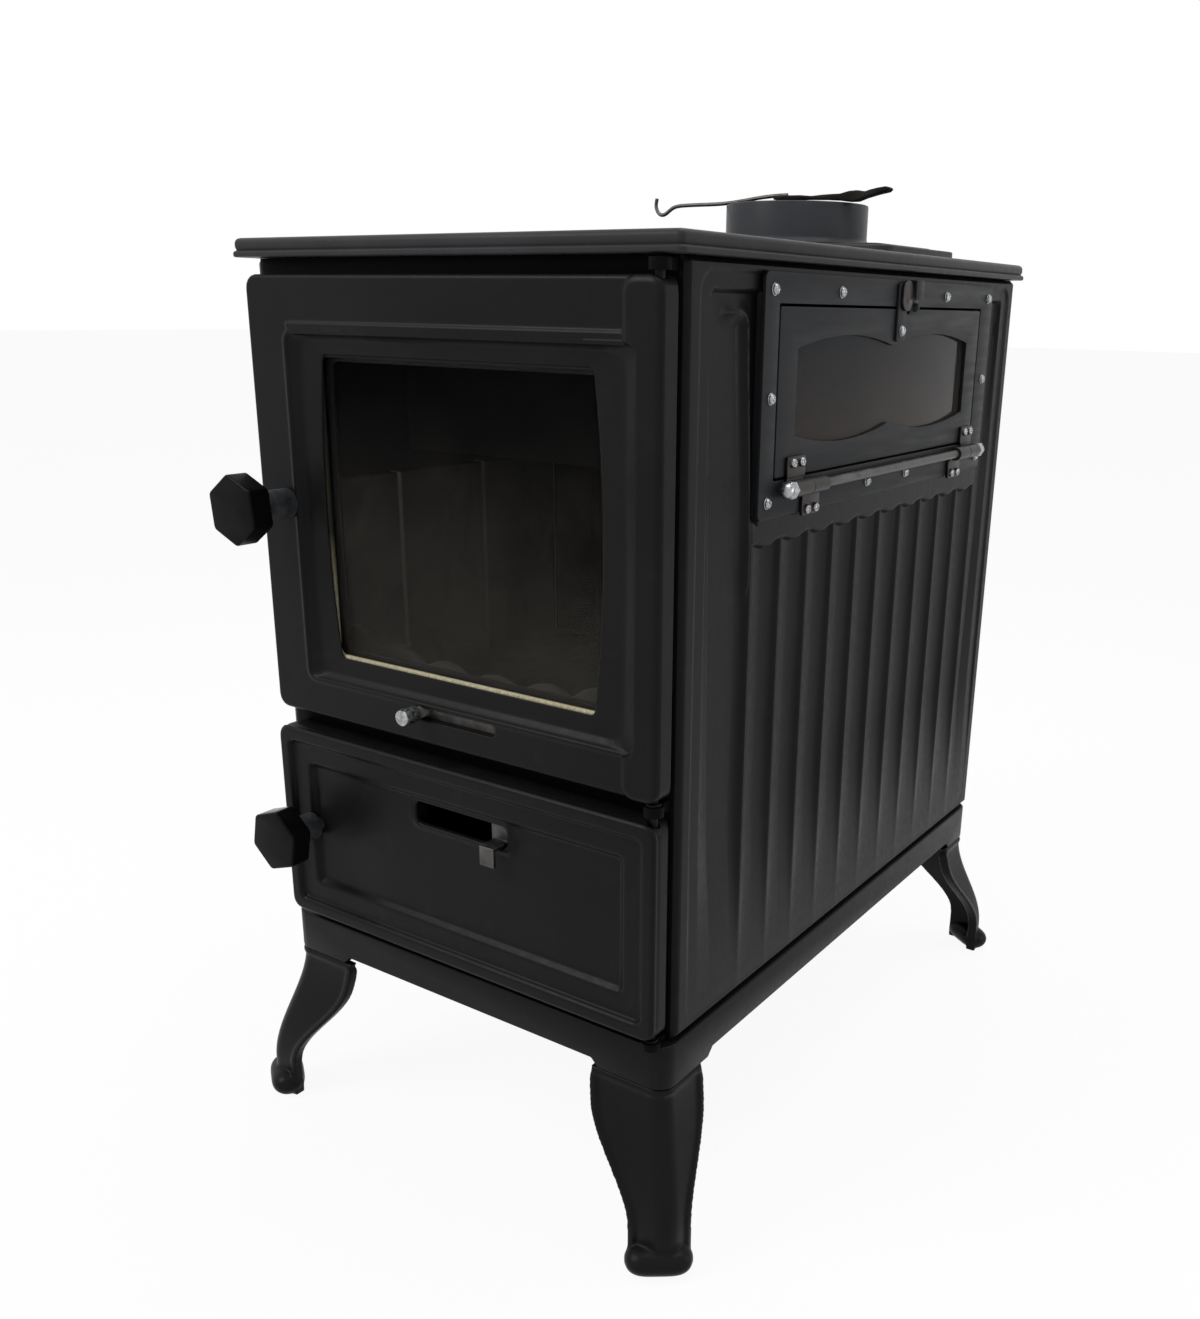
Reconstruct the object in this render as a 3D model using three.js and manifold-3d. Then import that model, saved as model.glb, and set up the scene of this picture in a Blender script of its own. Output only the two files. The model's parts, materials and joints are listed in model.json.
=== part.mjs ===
// Cast-iron wood cookstove on cabriole legs, in millimetres, +Z up.
// The front with the firebox door and the ash door faces -Y, the oven opens to +X.
// The origin is the middle of the bounding box, on the floor.

import * as THREE from 'three';
import { mergeVertices } from 'three/addons/utils/BufferGeometryUtils.js';
import Module from 'manifold-3d';

const wasm = await Module();
wasm.setup();

// ---------- driving dimensions ----------

// body
const bodyWidth = 428;
const bodyDepth = 624;
const legHeight = 151;
const baseHeight = 39;
const panelHeight = 588;
const panelWall = 8;
const fitGap = 0.3;
const runningGap = 0.5;
const edgeRadius = 1;
const over = 1; // how far a cutting or joining solid runs past a face

// base frame
const baseStep = 1.5;
const baseFrontStep = 16.5;
const baseCorner = 16;
const baseWall = 10;
const baseFloor = 6;
const apronLift = 7;
const apronSlope = 8;
const panRailHeight = 16;
const panRailWidth = 8;
const panRailX = 105;

// legs
const legWingFront = 72;
const legWingSide = 56;
const legThickness = 8;
const legCorner = 15;
const footOutX = 16;
const footOutY = 31;
const ankleShare = 0.54;
const footHalfWidth = 26;
const footHalfLength = 17;
const footHalfHeight = 14.4;
const footLift = 9.1;
const legFlareShare = 0.8;
const legNarrowFrom = 0.2;
const legNarrowShare = 0.55;
const footInset = 5;
const legPadSize = 34;
const legPadThickness = 6;

// side panels
const borderWidth = 24;
const fieldDepth = 4;
const wedgeTop = 2;
const wedgeBottom = 26;
const ribCount = 11;
const ribPitch = 46;
const ribWidth = 25;
const ribFootZ = 26;
const ribTopGap = 20;
const tallRibOffset = 36;
const tallRibTopDrop = 38;
const ribFade = 46;
const ribTopRound = 9;
const ribFootShare = 0.1;
const ribTopShare = 0.45;
const seatMargin = 3;
const grateLedgeReach = 24;
const grateLedgeHeight = 10;

// front frame and doors
const frameThickness = 10;
const jambWidth = 21;
const doorPlay = 0.9;
const doorDepth = 25.6;
const doorCentreX = 3;
const fireDoorSideGap = 6;
const fireDoorTopGap = 13;
const doorsGap = 16;
const ashDoorSideGap = 7;
const ashDoorHeight = 183;
const ashDoorLift = 9;
const doorCorner = 11;
const doorLap = 18;
const doorEdgeChamfer = 7;
const railSetback = 5;
const stileWidth = 34;
const recessMargin = 34;
const recessLeft = 46;
const recessTop = 43;
const recessDepth = 5;
const webThickness = 4;
const glassMarginLeft = 72;
const glassMarginRight = 58;
const glassMarginTop = 61;
const glassMarginBottom = 56;
const glassBow = 8;
const glassLap = 11;
const glassThickness = 4;
const ropeThickness = 4;
const retainerThickness = 2.5;
const retainerWidth = 16;
const pocketCorner = 6;
const doorEdge = 2;
const stileRound = 4.5;
const openingBevel = 3;
const ropeShow = 1.5;
const ashRimWidth = 14;
const ashRimRound = 2.5;
const ashBandInset = 32;
const ashSillLift = 5;

// door hinges
const hingeInset = 9;
const hingeSetback = 10;
const pinRadius = 3.5;
const pinPlay = 0.6;
const pinReach = 14;
const lugRadius = 8;
const lugGap = 2.6;
const lugThickness = 8;
const collarRadius = 6;

// latches and knobs
const latchInset = 34;
const fireLatchHeight = 185;
const ashLatchHeight = 90;
const latchRadius = 7;
const latchPlay = 0.6;
const latchHubRadius = 12.5;
const studRadius = 4;
const fireKnobStandoff = 33;
const ashKnobStandoff = 21;
const knobCorner = 29.5;
const knobThickness = 20;
const knobEdge = 1.5;
const knobTilt = 0.1;
const tongueLength = 28;
const tongueWidth = 12;
const tongueThickness = 6;
const tongueGap = 1;
const studLength = 10;
const hubChamfer = 3;

// air slides
const fireSlotLeft = -35;
const fireSlotLength = 87;
const fireSlotHeight = 13;
const fireSlotLift = 27;
const ashSlotLeft = -43;
const ashSlotLength = 102;
const ashSlotHeight = 20;
const ashSlotLift = 133;
const slotEndPlay = 3;
const slotRim = 4;
const slotRimHeight = 2;
const slideThickness = 3;
const slideLap = 6;
const slideKnobRadius = 7;
const slideKnobLength = 16;
const slideStemRadius = 3;
const slideSleeveRadius = 5;
const slideStemReach = 11;
const slideKnobBore = 13;
const slotCornerShare = 0.3;
const slideStemInset = 7;
const tabWidth = 15;
const tabDrop = 17;
const tabReach = 5;
const tabLift = 2;

// top plate, boss and collar
const plateOverhang = 8;
const plateFrontOverhang = 20;
const plateThickness = 15;
const plateLip = 4;
const plateLipInset = 2;
const plateCrown = 5;
const plateCorner = 7;
const bossHeight = 13;
const bossHalfWidth = 149;
const bossFront = 92;
const bossRear = 85;
const upperBossHeight = 3;
const upperBossInset = 22;
const upperBossRearInset = 7;
const flueHoleStep = 4;
const bossCorner = 16;
const collarCentreY = 224;
const collarOuter = 75;
const collarWall = 6;
const collarHeight = 41;
const collarFillet = 5;
const collarFlange = 2;
const lidCentreY = -165;
const lidRadius = 82;
const lidSpigot = 71;
const lidThickness = 7.5;
const lidSpigotDepth = 7;
const lidSocketRadius = 9;
const lidSocketDepth = 4;

// hearth
const grateLift = 195;
const grateSlotInset = 18;
const grateThickness = 12;
const grateSlots = 11;
const grateSlotWidth = 11;
const hearthDepth = 352;
const liningThickness = 13;
const liningHeight = 208;
const liningRibWidth = 10;
const liningRibHeight = 4;
const liningRibPitch = 68;
const guardThickness = 8;
const guardHeight = 66;
const guardSetback = 14;
const guardPlay = 3;
const guardScallops = 7;
const guardMiddleShare = 0.6;
const guardWaveShare = 0.3;
const panWall = 2;
const panHalfWidth = 150;
const panHeight = 70;
const panDepth = 430;

// oven
const ovenFrameCentreY = 12;
const ovenFrameSide = 27.5;
const ovenFrameTopGap = 7;
const ovenFrameFoot = 30;
const sheet = 3;
const ovenDoorCentreY = 8;
const ovenDoorWidth = 403;
const ovenDoorHeight = 125;
const ovenDoorDrop = 24;
const ovenDoorPlay = 2;
const ovenWindowSide = 29;
const ovenWindowEdge = 25.5;
const ovenWindowBulge = 9;
const ovenGlassLap = 10;
const ovenBoxBackGap = 34.7;
const trayRail = 9;
const trayLift = 46;
const trayRim = 12;
const traySetback = 18;
const boltInset = 12.5;
const boltHeadRadius = 5;
const boltHeadHeight = 4;
const boltShankRadius = 2.5;
const smallHeadRadius = 4;
const boltBottomColumn = 40.5;
const ovenHingeCentreY = 15;
const ovenHingeDrop = 9;
const ovenHingeReach = 10.7;
const ovenRodRadius = 4;
const ovenRodPlay = 0.6;
const knuckleRadius = 6.5;
const knuckleLength = 26;
const hingeEndInset = 8.5;
const leafThickness = 2.5;
const leafHeight = 24;
const leafWidth = 29;
const leafBoltHalf = 7;
const leafBoltHeight = 19;
const rodThread = 3;
const nutRadius = 7.5;
const nutLength = 9;
const nutDome = 6;
const nutShoulder = 5.4;
const stripY = 18;
const stripWidth = 18;
const stripThickness = 2;
const stripFootDrop = 27;
const stripTopDrop = 3;
const stripCorner = 3;
const tabPivotY = 22;
const tabPivotDrop = 17;
const tabHalfWidth = 9.5;
const tabHalfLength = 12.5;
const tabOffset = 4;
const tabThickness = 2.5;
const keeperY = 41.5;
const keeperWidth = 17;
const keeperDrop = 28;
const keeperLip = 16;
const keeperBoltDrop = 22.5;
const keeperBoltInset = 7;
const rivetRadius = 2.5;

// poker
const pokerY = 200;
const pokerWire = 2;
const pokerHookX = -143;
const pokerHookSize = 22;
const pokerGripStart = -13;
const pokerGripEnd = 118;
const pokerGripWidth = 13;
const pokerSocket = 16;
const pokerRise = 6.5;
const pokerGripRise = 13;
const pokerHeelIn = 2;
const pokerHeelOut = 7;

// ---------- values worked out from them ----------

const halfW = bodyWidth / 2;
const halfD = bodyDepth / 2;
const baseZ = legHeight;
const panelZ = baseZ + baseHeight;
const plateZ = panelZ + panelHeight;
const plateTop = plateZ + plateThickness;
const innerX = halfW - panelWall;

const frameFront = -halfD;
const frameBack = frameFront + frameThickness;
const doorBack = frameFront - doorPlay;
const doorFront = doorBack - doorDepth;
const railFront = doorFront + railSetback;
const webBack = railFront + recessDepth + webThickness;

const fireDoorWidth = bodyWidth - 2 * fireDoorSideGap;
const ashDoorWidth = bodyWidth - 2 * ashDoorSideGap;
const fireTop = plateZ - fireDoorTopGap;
const ashBottom = panelZ + ashDoorLift;
const ashTop = ashBottom + ashDoorHeight;
const fireBottom = ashTop + doorsGap;
const fireRight = doorCentreX + fireDoorWidth / 2;
const fireLeft = doorCentreX - fireDoorWidth / 2;
const glassOpeningWidth = fireDoorWidth - glassMarginLeft - glassMarginRight;
const glassOpeningX = doorCentreX + (glassMarginLeft - glassMarginRight) / 2;
const hingeX = fireRight - hingeInset;
const hingeY = doorFront + hingeSetback;
const latchX = fireLeft + latchInset;
const fireLatchZ = fireBottom + fireLatchHeight;
const ashLatchZ = ashBottom + ashLatchHeight;
const frameOpenLeft = -innerX + jambWidth;
const frameOpenRight = hingeX - doorLap - lugRadius;

const panelFace = halfW;
const ovenFrameWidth = ovenDoorWidth + 2 * ovenFrameSide;
const ovenFrameHeight = ovenDoorDrop + ovenDoorHeight + ovenFrameFoot;
const ovenWindowWidth = ovenDoorWidth - 2 * ovenWindowSide;
const ovenWindowHeight = ovenDoorHeight - 2 * ovenWindowEdge;
const boltColumn = ovenFrameWidth / 2 - boltInset;
const hingeHalfSpan = ovenDoorWidth / 2 - hingeEndInset;
const ovenFrameTop = plateZ - ovenFrameTopGap;
const ovenFrameBottom = ovenFrameTop - ovenFrameHeight;
const ovenFrameIn = panelFace + fitGap;
const ovenFrameOut = ovenFrameIn + sheet;
const ovenDoorTop = ovenFrameTop - ovenDoorDrop;
const ovenDoorBottom = ovenDoorTop - ovenDoorHeight;
const ovenMidZ = (ovenDoorTop + ovenDoorBottom) / 2;
const ovenBoxHalfY = ovenDoorWidth / 2 - sheet;
const ovenBoxRight = panelFace - fitGap;
const ovenBoxLeft = -innerX + ovenBoxBackGap;
const ovenBoxTop = ovenDoorTop + ovenDoorPlay + sheet;
const ovenBoxBottom = ovenDoorBottom - ovenDoorPlay - sheet;
const rodX = ovenFrameIn + ovenHingeReach;
const rodZ = ovenDoorBottom - ovenHingeDrop;
const leafIn = ovenFrameOut + fitGap;
const bossTop = plateTop + bossHeight;
const upperBossTop = bossTop + upperBossHeight;
const collarTop = upperBossTop + collarHeight;
const collarBore = collarOuter - collarWall;
const ribTopZ = ovenFrameBottom - ribTopGap;
const fieldX = panelFace - fieldDepth;
const grateZ = panelZ + grateLift;
const hearthFront = frameBack + 2 * tongueThickness;
const hearthBack = frameBack + hearthDepth;
const ashSillZ = ashBottom + ashSillLift;
const slideStemX = fireSlotLeft + slideStemInset;

// the bounding box reaches from the front knob to the rear feet, so the body stands off centre in Y
const knobFront = doorFront - fireKnobStandoff - fitGap - knobThickness;
const footHalfSpan = Math.sqrt((footHalfWidth ** 2 + footHalfLength ** 2) / 2);
const footCentreX = halfW + footOutX - footInset;
const footCentreY = halfD + footOutY - footInset;
const bodyShiftY = -(knobFront + footCentreY + footHalfSpan) / 2;

// ---------- materials ----------

function paint(color, roughness, metalness) {
  return new THREE.MeshStandardMaterial({ color, roughness, metalness });
}
const ironPaint = () => paint(0x252627, 0.62, 0.25);
const plainIron = () => paint(0x1d1d1e, 0.8, 0.3);
const sheetSteel = () => paint(0x33363b, 0.5, 0.6);
const zinc = () => paint(0xb9bcbf, 0.3, 1);
const steel = () => paint(0x77797c, 0.4, 1);
const bakelite = () => paint(0x0b0b0c, 0.22, 0);
const rope = () => paint(0xcfc4a4, 0.95, 0);
const clearGlass = () => new THREE.MeshStandardMaterial({
  color: 0x2a2a28, roughness: 0.05, metalness: 0, transparent: true, opacity: 0.35,
});

// ---------- solids ----------

const stove = new THREE.Group();
stove.position.y = bodyShiftY;

function addMesh(name, geometry, material) {
  const mesh = new THREE.Mesh(geometry, material);
  mesh.name = name;
  stove.add(mesh);
  return mesh;
}

function toSolid(geometry) {
  const bare = geometry.clone();
  for (const key of Object.keys(bare.attributes)) {
    if (key !== 'position') {
      bare.deleteAttribute(key);
    }
  }
  const merged = mergeVertices(bare, 1e-4);
  const mesh = new wasm.Mesh({
    numProp: 3,
    vertProperties: new Float32Array(merged.attributes.position.array),
    triVerts: new Uint32Array(merged.index.array),
  });
  return new wasm.Manifold(mesh);
}

function toGeometry(solid) {
  const mesh = solid.getMesh();
  const geometry = new THREE.BufferGeometry();
  geometry.setAttribute('position', new THREE.BufferAttribute(new Float32Array(mesh.vertProperties), 3));
  geometry.setIndex(new THREE.BufferAttribute(new Uint32Array(mesh.triVerts), 1));
  geometry.computeVertexNormals();
  return geometry;
}

function join(...pieces) {
  return toGeometry(pieces.map(toSolid).reduce((whole, piece) => whole.add(piece)));
}

function cut(whole, ...tools) {
  return toGeometry(tools.map(toSolid).reduce((rest, tool) => rest.subtract(tool), toSolid(whole)));
}

function box(x0, x1, y0, y1, z0, z1) {
  const geometry = new THREE.BoxGeometry(x1 - x0, y1 - y0, z1 - z0);
  return geometry.translate((x0 + x1) / 2, (y0 + y1) / 2, (z0 + z1) / 2);
}

// a rounded rectangle from (u0, v0) to (u1, v1)
function roundedRect(u0, u1, v0, v1, radius) {
  const shape = new THREE.Shape();
  shape.moveTo(u0 + radius, v0);
  shape.lineTo(u1 - radius, v0);
  shape.absarc(u1 - radius, v0 + radius, radius, -Math.PI / 2, 0, false);
  shape.lineTo(u1, v1 - radius);
  shape.absarc(u1 - radius, v1 - radius, radius, 0, Math.PI / 2, false);
  shape.lineTo(u0 + radius, v1);
  shape.absarc(u0 + radius, v1 - radius, radius, Math.PI / 2, Math.PI, false);
  shape.lineTo(u0, v0 + radius);
  shape.absarc(u0 + radius, v0 + radius, radius, Math.PI, Math.PI * 1.5, false);
  return shape;
}

// a shape pulled up from Z = 0, with an optional chamfer or round at both ends
function extrude(shape, depth, bevel = 0, curveSegments = 2, bevelSegments = 1) {
  return new THREE.ExtrudeGeometry(shape, {
    depth: depth - 2 * bevel,
    bevelEnabled: bevel > 0,
    bevelThickness: bevel,
    bevelSize: bevel,
    bevelOffset: -bevel,
    bevelSegments,
    curveSegments,
  }).translate(0, 0, bevel);
}

// the shape is drawn in X and Y
function slabZ(shape, z0, z1, ...options) {
  return extrude(shape, z1 - z0, ...options).translate(0, 0, z0);
}

// the shape is drawn in X and Z
function slabY(shape, y0, y1, ...options) {
  return extrude(shape, y1 - y0, ...options).rotateX(Math.PI / 2).translate(0, y1, 0);
}

// the shape is drawn in Y and Z
function slabX(shape, x0, x1, ...options) {
  const turn = new THREE.Matrix4().makeBasis(
    new THREE.Vector3(0, 1, 0),
    new THREE.Vector3(0, 0, 1),
    new THREE.Vector3(1, 0, 0),
  );
  return extrude(shape, x1 - x0, ...options).applyMatrix4(turn).translate(x0, 0, 0);
}

function turned(profile, segments) {
  return new THREE.LatheGeometry(profile.map(([r, h]) => new THREE.Vector2(r, h)), segments);
}

// lathe profiles run from the low end to the high end of the axis
function turnedZ(profile, x, y, segments = 16) {
  return turned(profile, segments).rotateX(Math.PI / 2).translate(x, y, 0);
}

function turnedY(profile, x, z, segments = 16) {
  return turned(profile, segments).translate(x, 0, z);
}

function turnedX(profile, y, z, segments = 16) {
  return turned(profile, segments).rotateZ(-Math.PI / 2).translate(0, y, z);
}

function rodProfile(radius, low, high) {
  return [[0, low], [radius, low], [radius, high], [0, high]];
}

// a bolt along X: a shank from x0 to the face, and a domed head on the face
function boltProfile(shankRadius, headRadius, x0, face) {
  return [
    [0, x0],
    [shankRadius, x0],
    [shankRadius, face],
    [headRadius, face],
    [headRadius, face + boltHeadHeight / 2],
    [headRadius / 2, face + boltHeadHeight],
    [0, face + boltHeadHeight],
  ];
}

// a regular six-sided outline
function hexagon(corner, start = 0) {
  const points = [];
  for (let i = 0; i < 6; i += 1) {
    const angle = start + (i * Math.PI) / 3;
    points.push(new THREE.Vector2(corner * Math.cos(angle), corner * Math.sin(angle)));
  }
  return new THREE.Shape(points);
}

// skin through rings of equal point count, closed by flat ends
function loft(rings) {
  const count = rings[0].length;
  const positions = rings.flat().flatMap((point) => [point.x, point.y, point.z]);
  const index = [];
  for (let ring = 0; ring < rings.length - 1; ring += 1) {
    for (let i = 0; i < count; i += 1) {
      const a = ring * count + i;
      const b = ring * count + ((i + 1) % count);
      index.push(a, b, a + count, b, b + count, a + count);
    }
  }
  const last = (rings.length - 1) * count;
  for (const [offset, flip] of [[0, true], [last, false]]) {
    const ring = offset === 0 ? rings[0] : rings[rings.length - 1];
    const flat = ring.map((point) => new THREE.Vector2(point.x, point.y));
    for (const [a, b, c] of THREE.ShapeUtils.triangulateShape(flat, [])) {
      const face = flip ? [a, c, b] : [a, b, c];
      index.push(...face.map((corner) => corner + offset));
    }
  }
  const geometry = new THREE.BufferGeometry();
  geometry.setAttribute('position', new THREE.Float32BufferAttribute(positions, 3));
  geometry.setIndex(index);
  return geometry;
}

// ---------- base frame ----------

function baseFrame() {
  const x = halfW + baseStep;
  const y = halfD + baseStep;
  const front = halfD + baseFrontStep;
  const outer = slabZ(roundedRect(-x, x, -front, y, baseCorner), baseZ, panelZ);
  const hollowX = x - baseWall;
  const hollow = box(
    -hollowX,
    hollowX,
    baseWall - front,
    y - baseWall,
    baseZ - over,
    panelZ - baseFloor,
  );
  const frontTool = slabY(apronCut(halfW - legWingFront), -2 * y, 2 * y);
  const sideTool = slabX(apronCut(halfD - legWingSide), -2 * x, 2 * x);
  const rails = [-1, 1].map((side) => box(
    side * panRailX - panRailWidth / 2,
    side * panRailX + panRailWidth / 2,
    hearthFront,
    hearthFront + panDepth,
    panelZ - over,
    panelZ + panRailHeight,
  ));
  return join(cut(outer, hollow, frontTool, sideTool), ...rails);
}

// the apron's lower edge rises between the legs
function apronCut(halfSpan) {
  const shape = new THREE.Shape();
  shape.moveTo(-halfSpan - apronSlope, baseZ - over);
  shape.lineTo(halfSpan + apronSlope, baseZ - over);
  shape.lineTo(halfSpan, baseZ + apronLift);
  shape.lineTo(-halfSpan, baseZ + apronLift);
  return shape;
}

addMesh('base_frame', baseFrame(), ironPaint());

// ---------- legs ----------

// eases from 0 to 1
function smooth(t) {
  const a = Math.min(1, Math.max(0, t));
  return a * a * (3 - 2 * a);
}

// the front legs stand under the front of the base, ahead of the body
function legShift(signY) {
  return signY < 0 ? baseFrontStep - baseStep : 0;
}

// one ring of the angled leg, at height share t from the top (0) to the floor (1)
function legRing(t, signX, signY) {
  const out = smooth(t / legFlareShare);
  const narrow = 1 - (1 - ankleShare) * smooth((t - legNarrowFrom) / legNarrowShare);
  const cornerX = halfW + footOutX * out;
  const cornerY = halfD + legShift(signY) + footOutY * out;
  const wingX = legWingFront * narrow;
  const wingY = legWingSide * narrow;
  const z = (legHeight - fitGap) * (1 - t) + over * t;
  const points = [[cornerX - wingX, cornerY]];
  for (let i = 0; i <= 4; i += 1) {
    const angle = (Math.PI / 2) * (1 - i / 4);
    points.push([
      cornerX - legCorner + legCorner * Math.cos(angle),
      cornerY - legCorner + legCorner * Math.sin(angle),
    ]);
  }
  points.push([cornerX, cornerY - wingY]);
  points.push([cornerX - legThickness, cornerY - wingY]);
  points.push([cornerX - legThickness, cornerY - legCorner]);
  points.push([cornerX - legCorner, cornerY - legThickness]);
  points.push([cornerX - wingX, cornerY - legThickness]);
  const ring = points.map(([x, y]) => new THREE.Vector3(x * signX, y * signY, z));
  return signX * signY > 0 ? ring : ring.reverse();
}

const legStations = [1, 0.9, 0.76, 0.62, 0.48, 0.34, 0.18, 0];

function leg(signX, signY) {
  const shell = loft(legStations.map((t) => legRing(t, signX, signY).reverse()));
  const foot = new THREE.SphereGeometry(1, 12, 6)
    .rotateX(Math.PI / 2)
    .scale(footHalfWidth, footHalfLength, footHalfHeight)
    .rotateZ(signX * signY > 0 ? -Math.PI / 4 : Math.PI / 4)
    .translate(footCentreX * signX, (footCentreY + legShift(signY)) * signY, footLift);
  const under = box(-bodyDepth, bodyDepth, -bodyDepth, bodyDepth, -legHeight, 0);
  const padX = (halfW - legPadSize) * signX;
  const padY = (halfD + legShift(signY) - legPadSize) * signY;
  const reach = legPadSize - legThickness / 2;
  const pad = box(
    padX - (signX > 0 ? 0 : reach),
    padX + (signX > 0 ? reach : 0),
    padY - (signY > 0 ? 0 : reach),
    padY + (signY > 0 ? reach : 0),
    legHeight - fitGap - legPadThickness,
    legHeight - fitGap,
  );
  return cut(join(shell, foot, pad), under);
}

const legCorners = { front_left: [-1, -1], front_right: [1, -1], rear_left: [-1, 1], rear_right: [1, 1] };
for (const [place, [signX, signY]] of Object.entries(legCorners)) {
  addMesh(`leg_${place}`, leg(signX, signY), ironPaint());
}

// ---------- side panels ----------

// a rounded ridge on a panel face that looks along +X
function ridge(y, width, height, z0, z1) {
  const footX = fieldX - over;
  const stations = [[z0, ribFootShare], [z0 + ribFade, 1], [z1 - ribTopRound, 1], [z1, ribTopShare]];
  return loft(stations.map(([z, share]) => {
    const ring = [];
    for (let i = 4; i >= 0; i -= 1) {
      const angle = (Math.PI * i) / 4;
      ring.push(new THREE.Vector3(
        footX + (over + height * share) * Math.sin(angle),
        y + (width / 2) * Math.cos(angle),
        z,
      ));
    }
    return ring;
  }));
}

// the sunk field, with a sloped facet at its front and rear edges that widens downward
function fieldCutter() {
  const edge = halfD - borderWidth;
  const stations = [[panelZ + borderWidth, wedgeBottom], [plateZ - borderWidth, wedgeTop]];
  return loft(stations.map(([z, wedge]) => [
    new THREE.Vector3(fieldX, -edge + wedge, z),
    new THREE.Vector3(panelFace + over, -edge, z),
    new THREE.Vector3(panelFace + over, edge, z),
    new THREE.Vector3(fieldX, edge - wedge, z),
  ]));
}

// drawn for the right side; the left one is turned half round, so its places along Y change sign
function sidePanel(side) {
  const low = panelZ + fitGap;
  const high = plateZ - fitGap;
  const pieces = [cut(box(innerX, panelFace, -halfD, halfD, low, high), fieldCutter())];
  const hasOven = side > 0;
  const ribTop = hasOven ? ribTopZ : plateZ - tallRibTopDrop;
  const footZ = panelZ + ribFootZ;
  const firstRib = ovenFrameCentreY - (ribPitch * (ribCount - 1)) / 2;
  for (let i = 0; i < ribCount; i += 1) {
    pieces.push(ridge(side * (firstRib + i * ribPitch), ribWidth, fieldDepth, footZ, ribTop));
  }
  const tallRibY = firstRib - tallRibOffset;
  pieces.push(ridge(side * tallRibY, ribWidth, fieldDepth, footZ, plateZ - tallRibTopDrop));
  const ledgeEnds = [side * hearthFront, side * (hearthBack + liningThickness)];
  pieces.push(box(
    innerX - grateLedgeReach,
    innerX + over,
    Math.min(...ledgeEnds),
    Math.max(...ledgeEnds),
    grateZ - fitGap - grateLedgeHeight,
    grateZ - fitGap,
  ));
  if (!hasOven) {
    return join(...pieces).rotateZ(Math.PI);
  }
  const half = ovenFrameWidth / 2 + seatMargin;
  const seat = roundedRect(
    ovenFrameCentreY - half,
    ovenFrameCentreY + half,
    ovenFrameBottom - seatMargin,
    high - edgeRadius,
    doorCorner,
  );
  pieces.push(slabX(seat, fieldX - over, panelFace));
  const mouth = box(
    innerX - over,
    panelFace + over,
    ovenDoorCentreY - ovenBoxHalfY - fitGap,
    ovenDoorCentreY + ovenBoxHalfY + fitGap,
    ovenBoxBottom - fitGap,
    ovenBoxTop + fitGap,
  );
  return cut(join(...pieces), mouth, ...frameBoltPlaces.map(boltHole));
}

const ovenFrameMidZ = (ovenFrameTop + ovenFrameBottom) / 2;
const frameBoltRow = ovenFrameHeight / 2 - boltInset;
const frameBoltPlaces = [
  ['top_front', -boltColumn, frameBoltRow],
  ['top_front_mid', -boltColumn / 2, frameBoltRow],
  ['top_rear_mid', boltColumn / 2, frameBoltRow],
  ['top_rear', boltColumn, frameBoltRow],
  ['side_front', -boltColumn, 0],
  ['side_rear', boltColumn, 0],
  ['bottom_front', -boltColumn, -frameBoltRow],
  ['bottom_front_mid', -boltBottomColumn, -frameBoltRow],
  ['bottom_rear_mid', boltBottomColumn, -frameBoltRow],
  ['bottom_rear', boltColumn, -frameBoltRow],
];

function boltHole([, y, z]) {
  const hole = rodProfile(boltShankRadius + runningGap, innerX - over, ovenFrameOut + over);
  return turnedX(hole, ovenFrameCentreY + y, ovenFrameMidZ + z, 8);
}

function frameBolt([, y, z]) {
  const profile = boltProfile(boltShankRadius, boltHeadRadius, innerX + over, ovenFrameOut + fitGap);
  return turnedX(profile, ovenFrameCentreY + y, ovenFrameMidZ + z, 8);
}

addMesh('side_panel_right', sidePanel(1), ironPaint());
addMesh('side_panel_left', sidePanel(-1), ironPaint());

// ---------- front frame and back panel ----------

// a bracket of the front frame that holds a hinge pin
function hingeLug(z0, z1) {
  const armRight = Math.min(hingeX + lugRadius, innerX - fitGap);
  const arm = box(hingeX - lugRadius, armRight, hingeY, frameFront + over, z0, z1);
  const eye = turnedZ(rodProfile(lugRadius, z0, z1), hingeX, hingeY, 16);
  return [arm, eye];
}

function frontFrame() {
  const x = innerX - fitGap;
  const outline = roundedRect(-x, x, panelZ + fitGap, plateZ - fitGap, edgeRadius);
  outline.holes.push(
    roundedRect(frameOpenLeft, frameOpenRight, fireBottom + doorLap, fireTop - doorLap, doorCorner),
    roundedRect(frameOpenLeft, frameOpenRight, ashSillZ, ashTop - doorLap, doorCorner / 2),
  );
  const plate = slabY(outline, frameFront, frameBack);
  const lugs = lugLevels.flatMap(([z0, z1]) => hingeLug(z0, z1));
  const bore = turnedZ(rodProfile(pinRadius + pinPlay, panelZ, plateZ), hingeX, hingeY, 12);
  return cut(join(plate, ...lugs), bore);
}

const lugLevels = [
  [fireTop + lugGap, fireTop + lugGap + lugThickness],
  [fireBottom - lugGap - lugThickness, fireBottom - lugGap],
  [panelZ + runningGap, ashBottom - lugGap],
];

addMesh('front_frame', frontFrame(), ironPaint());

function backPanel() {
  const x = innerX - fitGap;
  const plate = box(-x, x, halfD - panelWall, halfD, panelZ + fitGap, plateZ - fitGap);
  const field = slabY(
    roundedRect(-x + borderWidth, x - borderWidth, panelZ + borderWidth, plateZ - borderWidth, doorCorner),
    halfD - fieldDepth,
    halfD + over,
  );
  return cut(plate, field);
}

addMesh('back_panel', backPanel(), ironPaint());

// ---------- top plate, boss, collar and lid ----------

const flueHole = collarBore - flueHoleStep;

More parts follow.
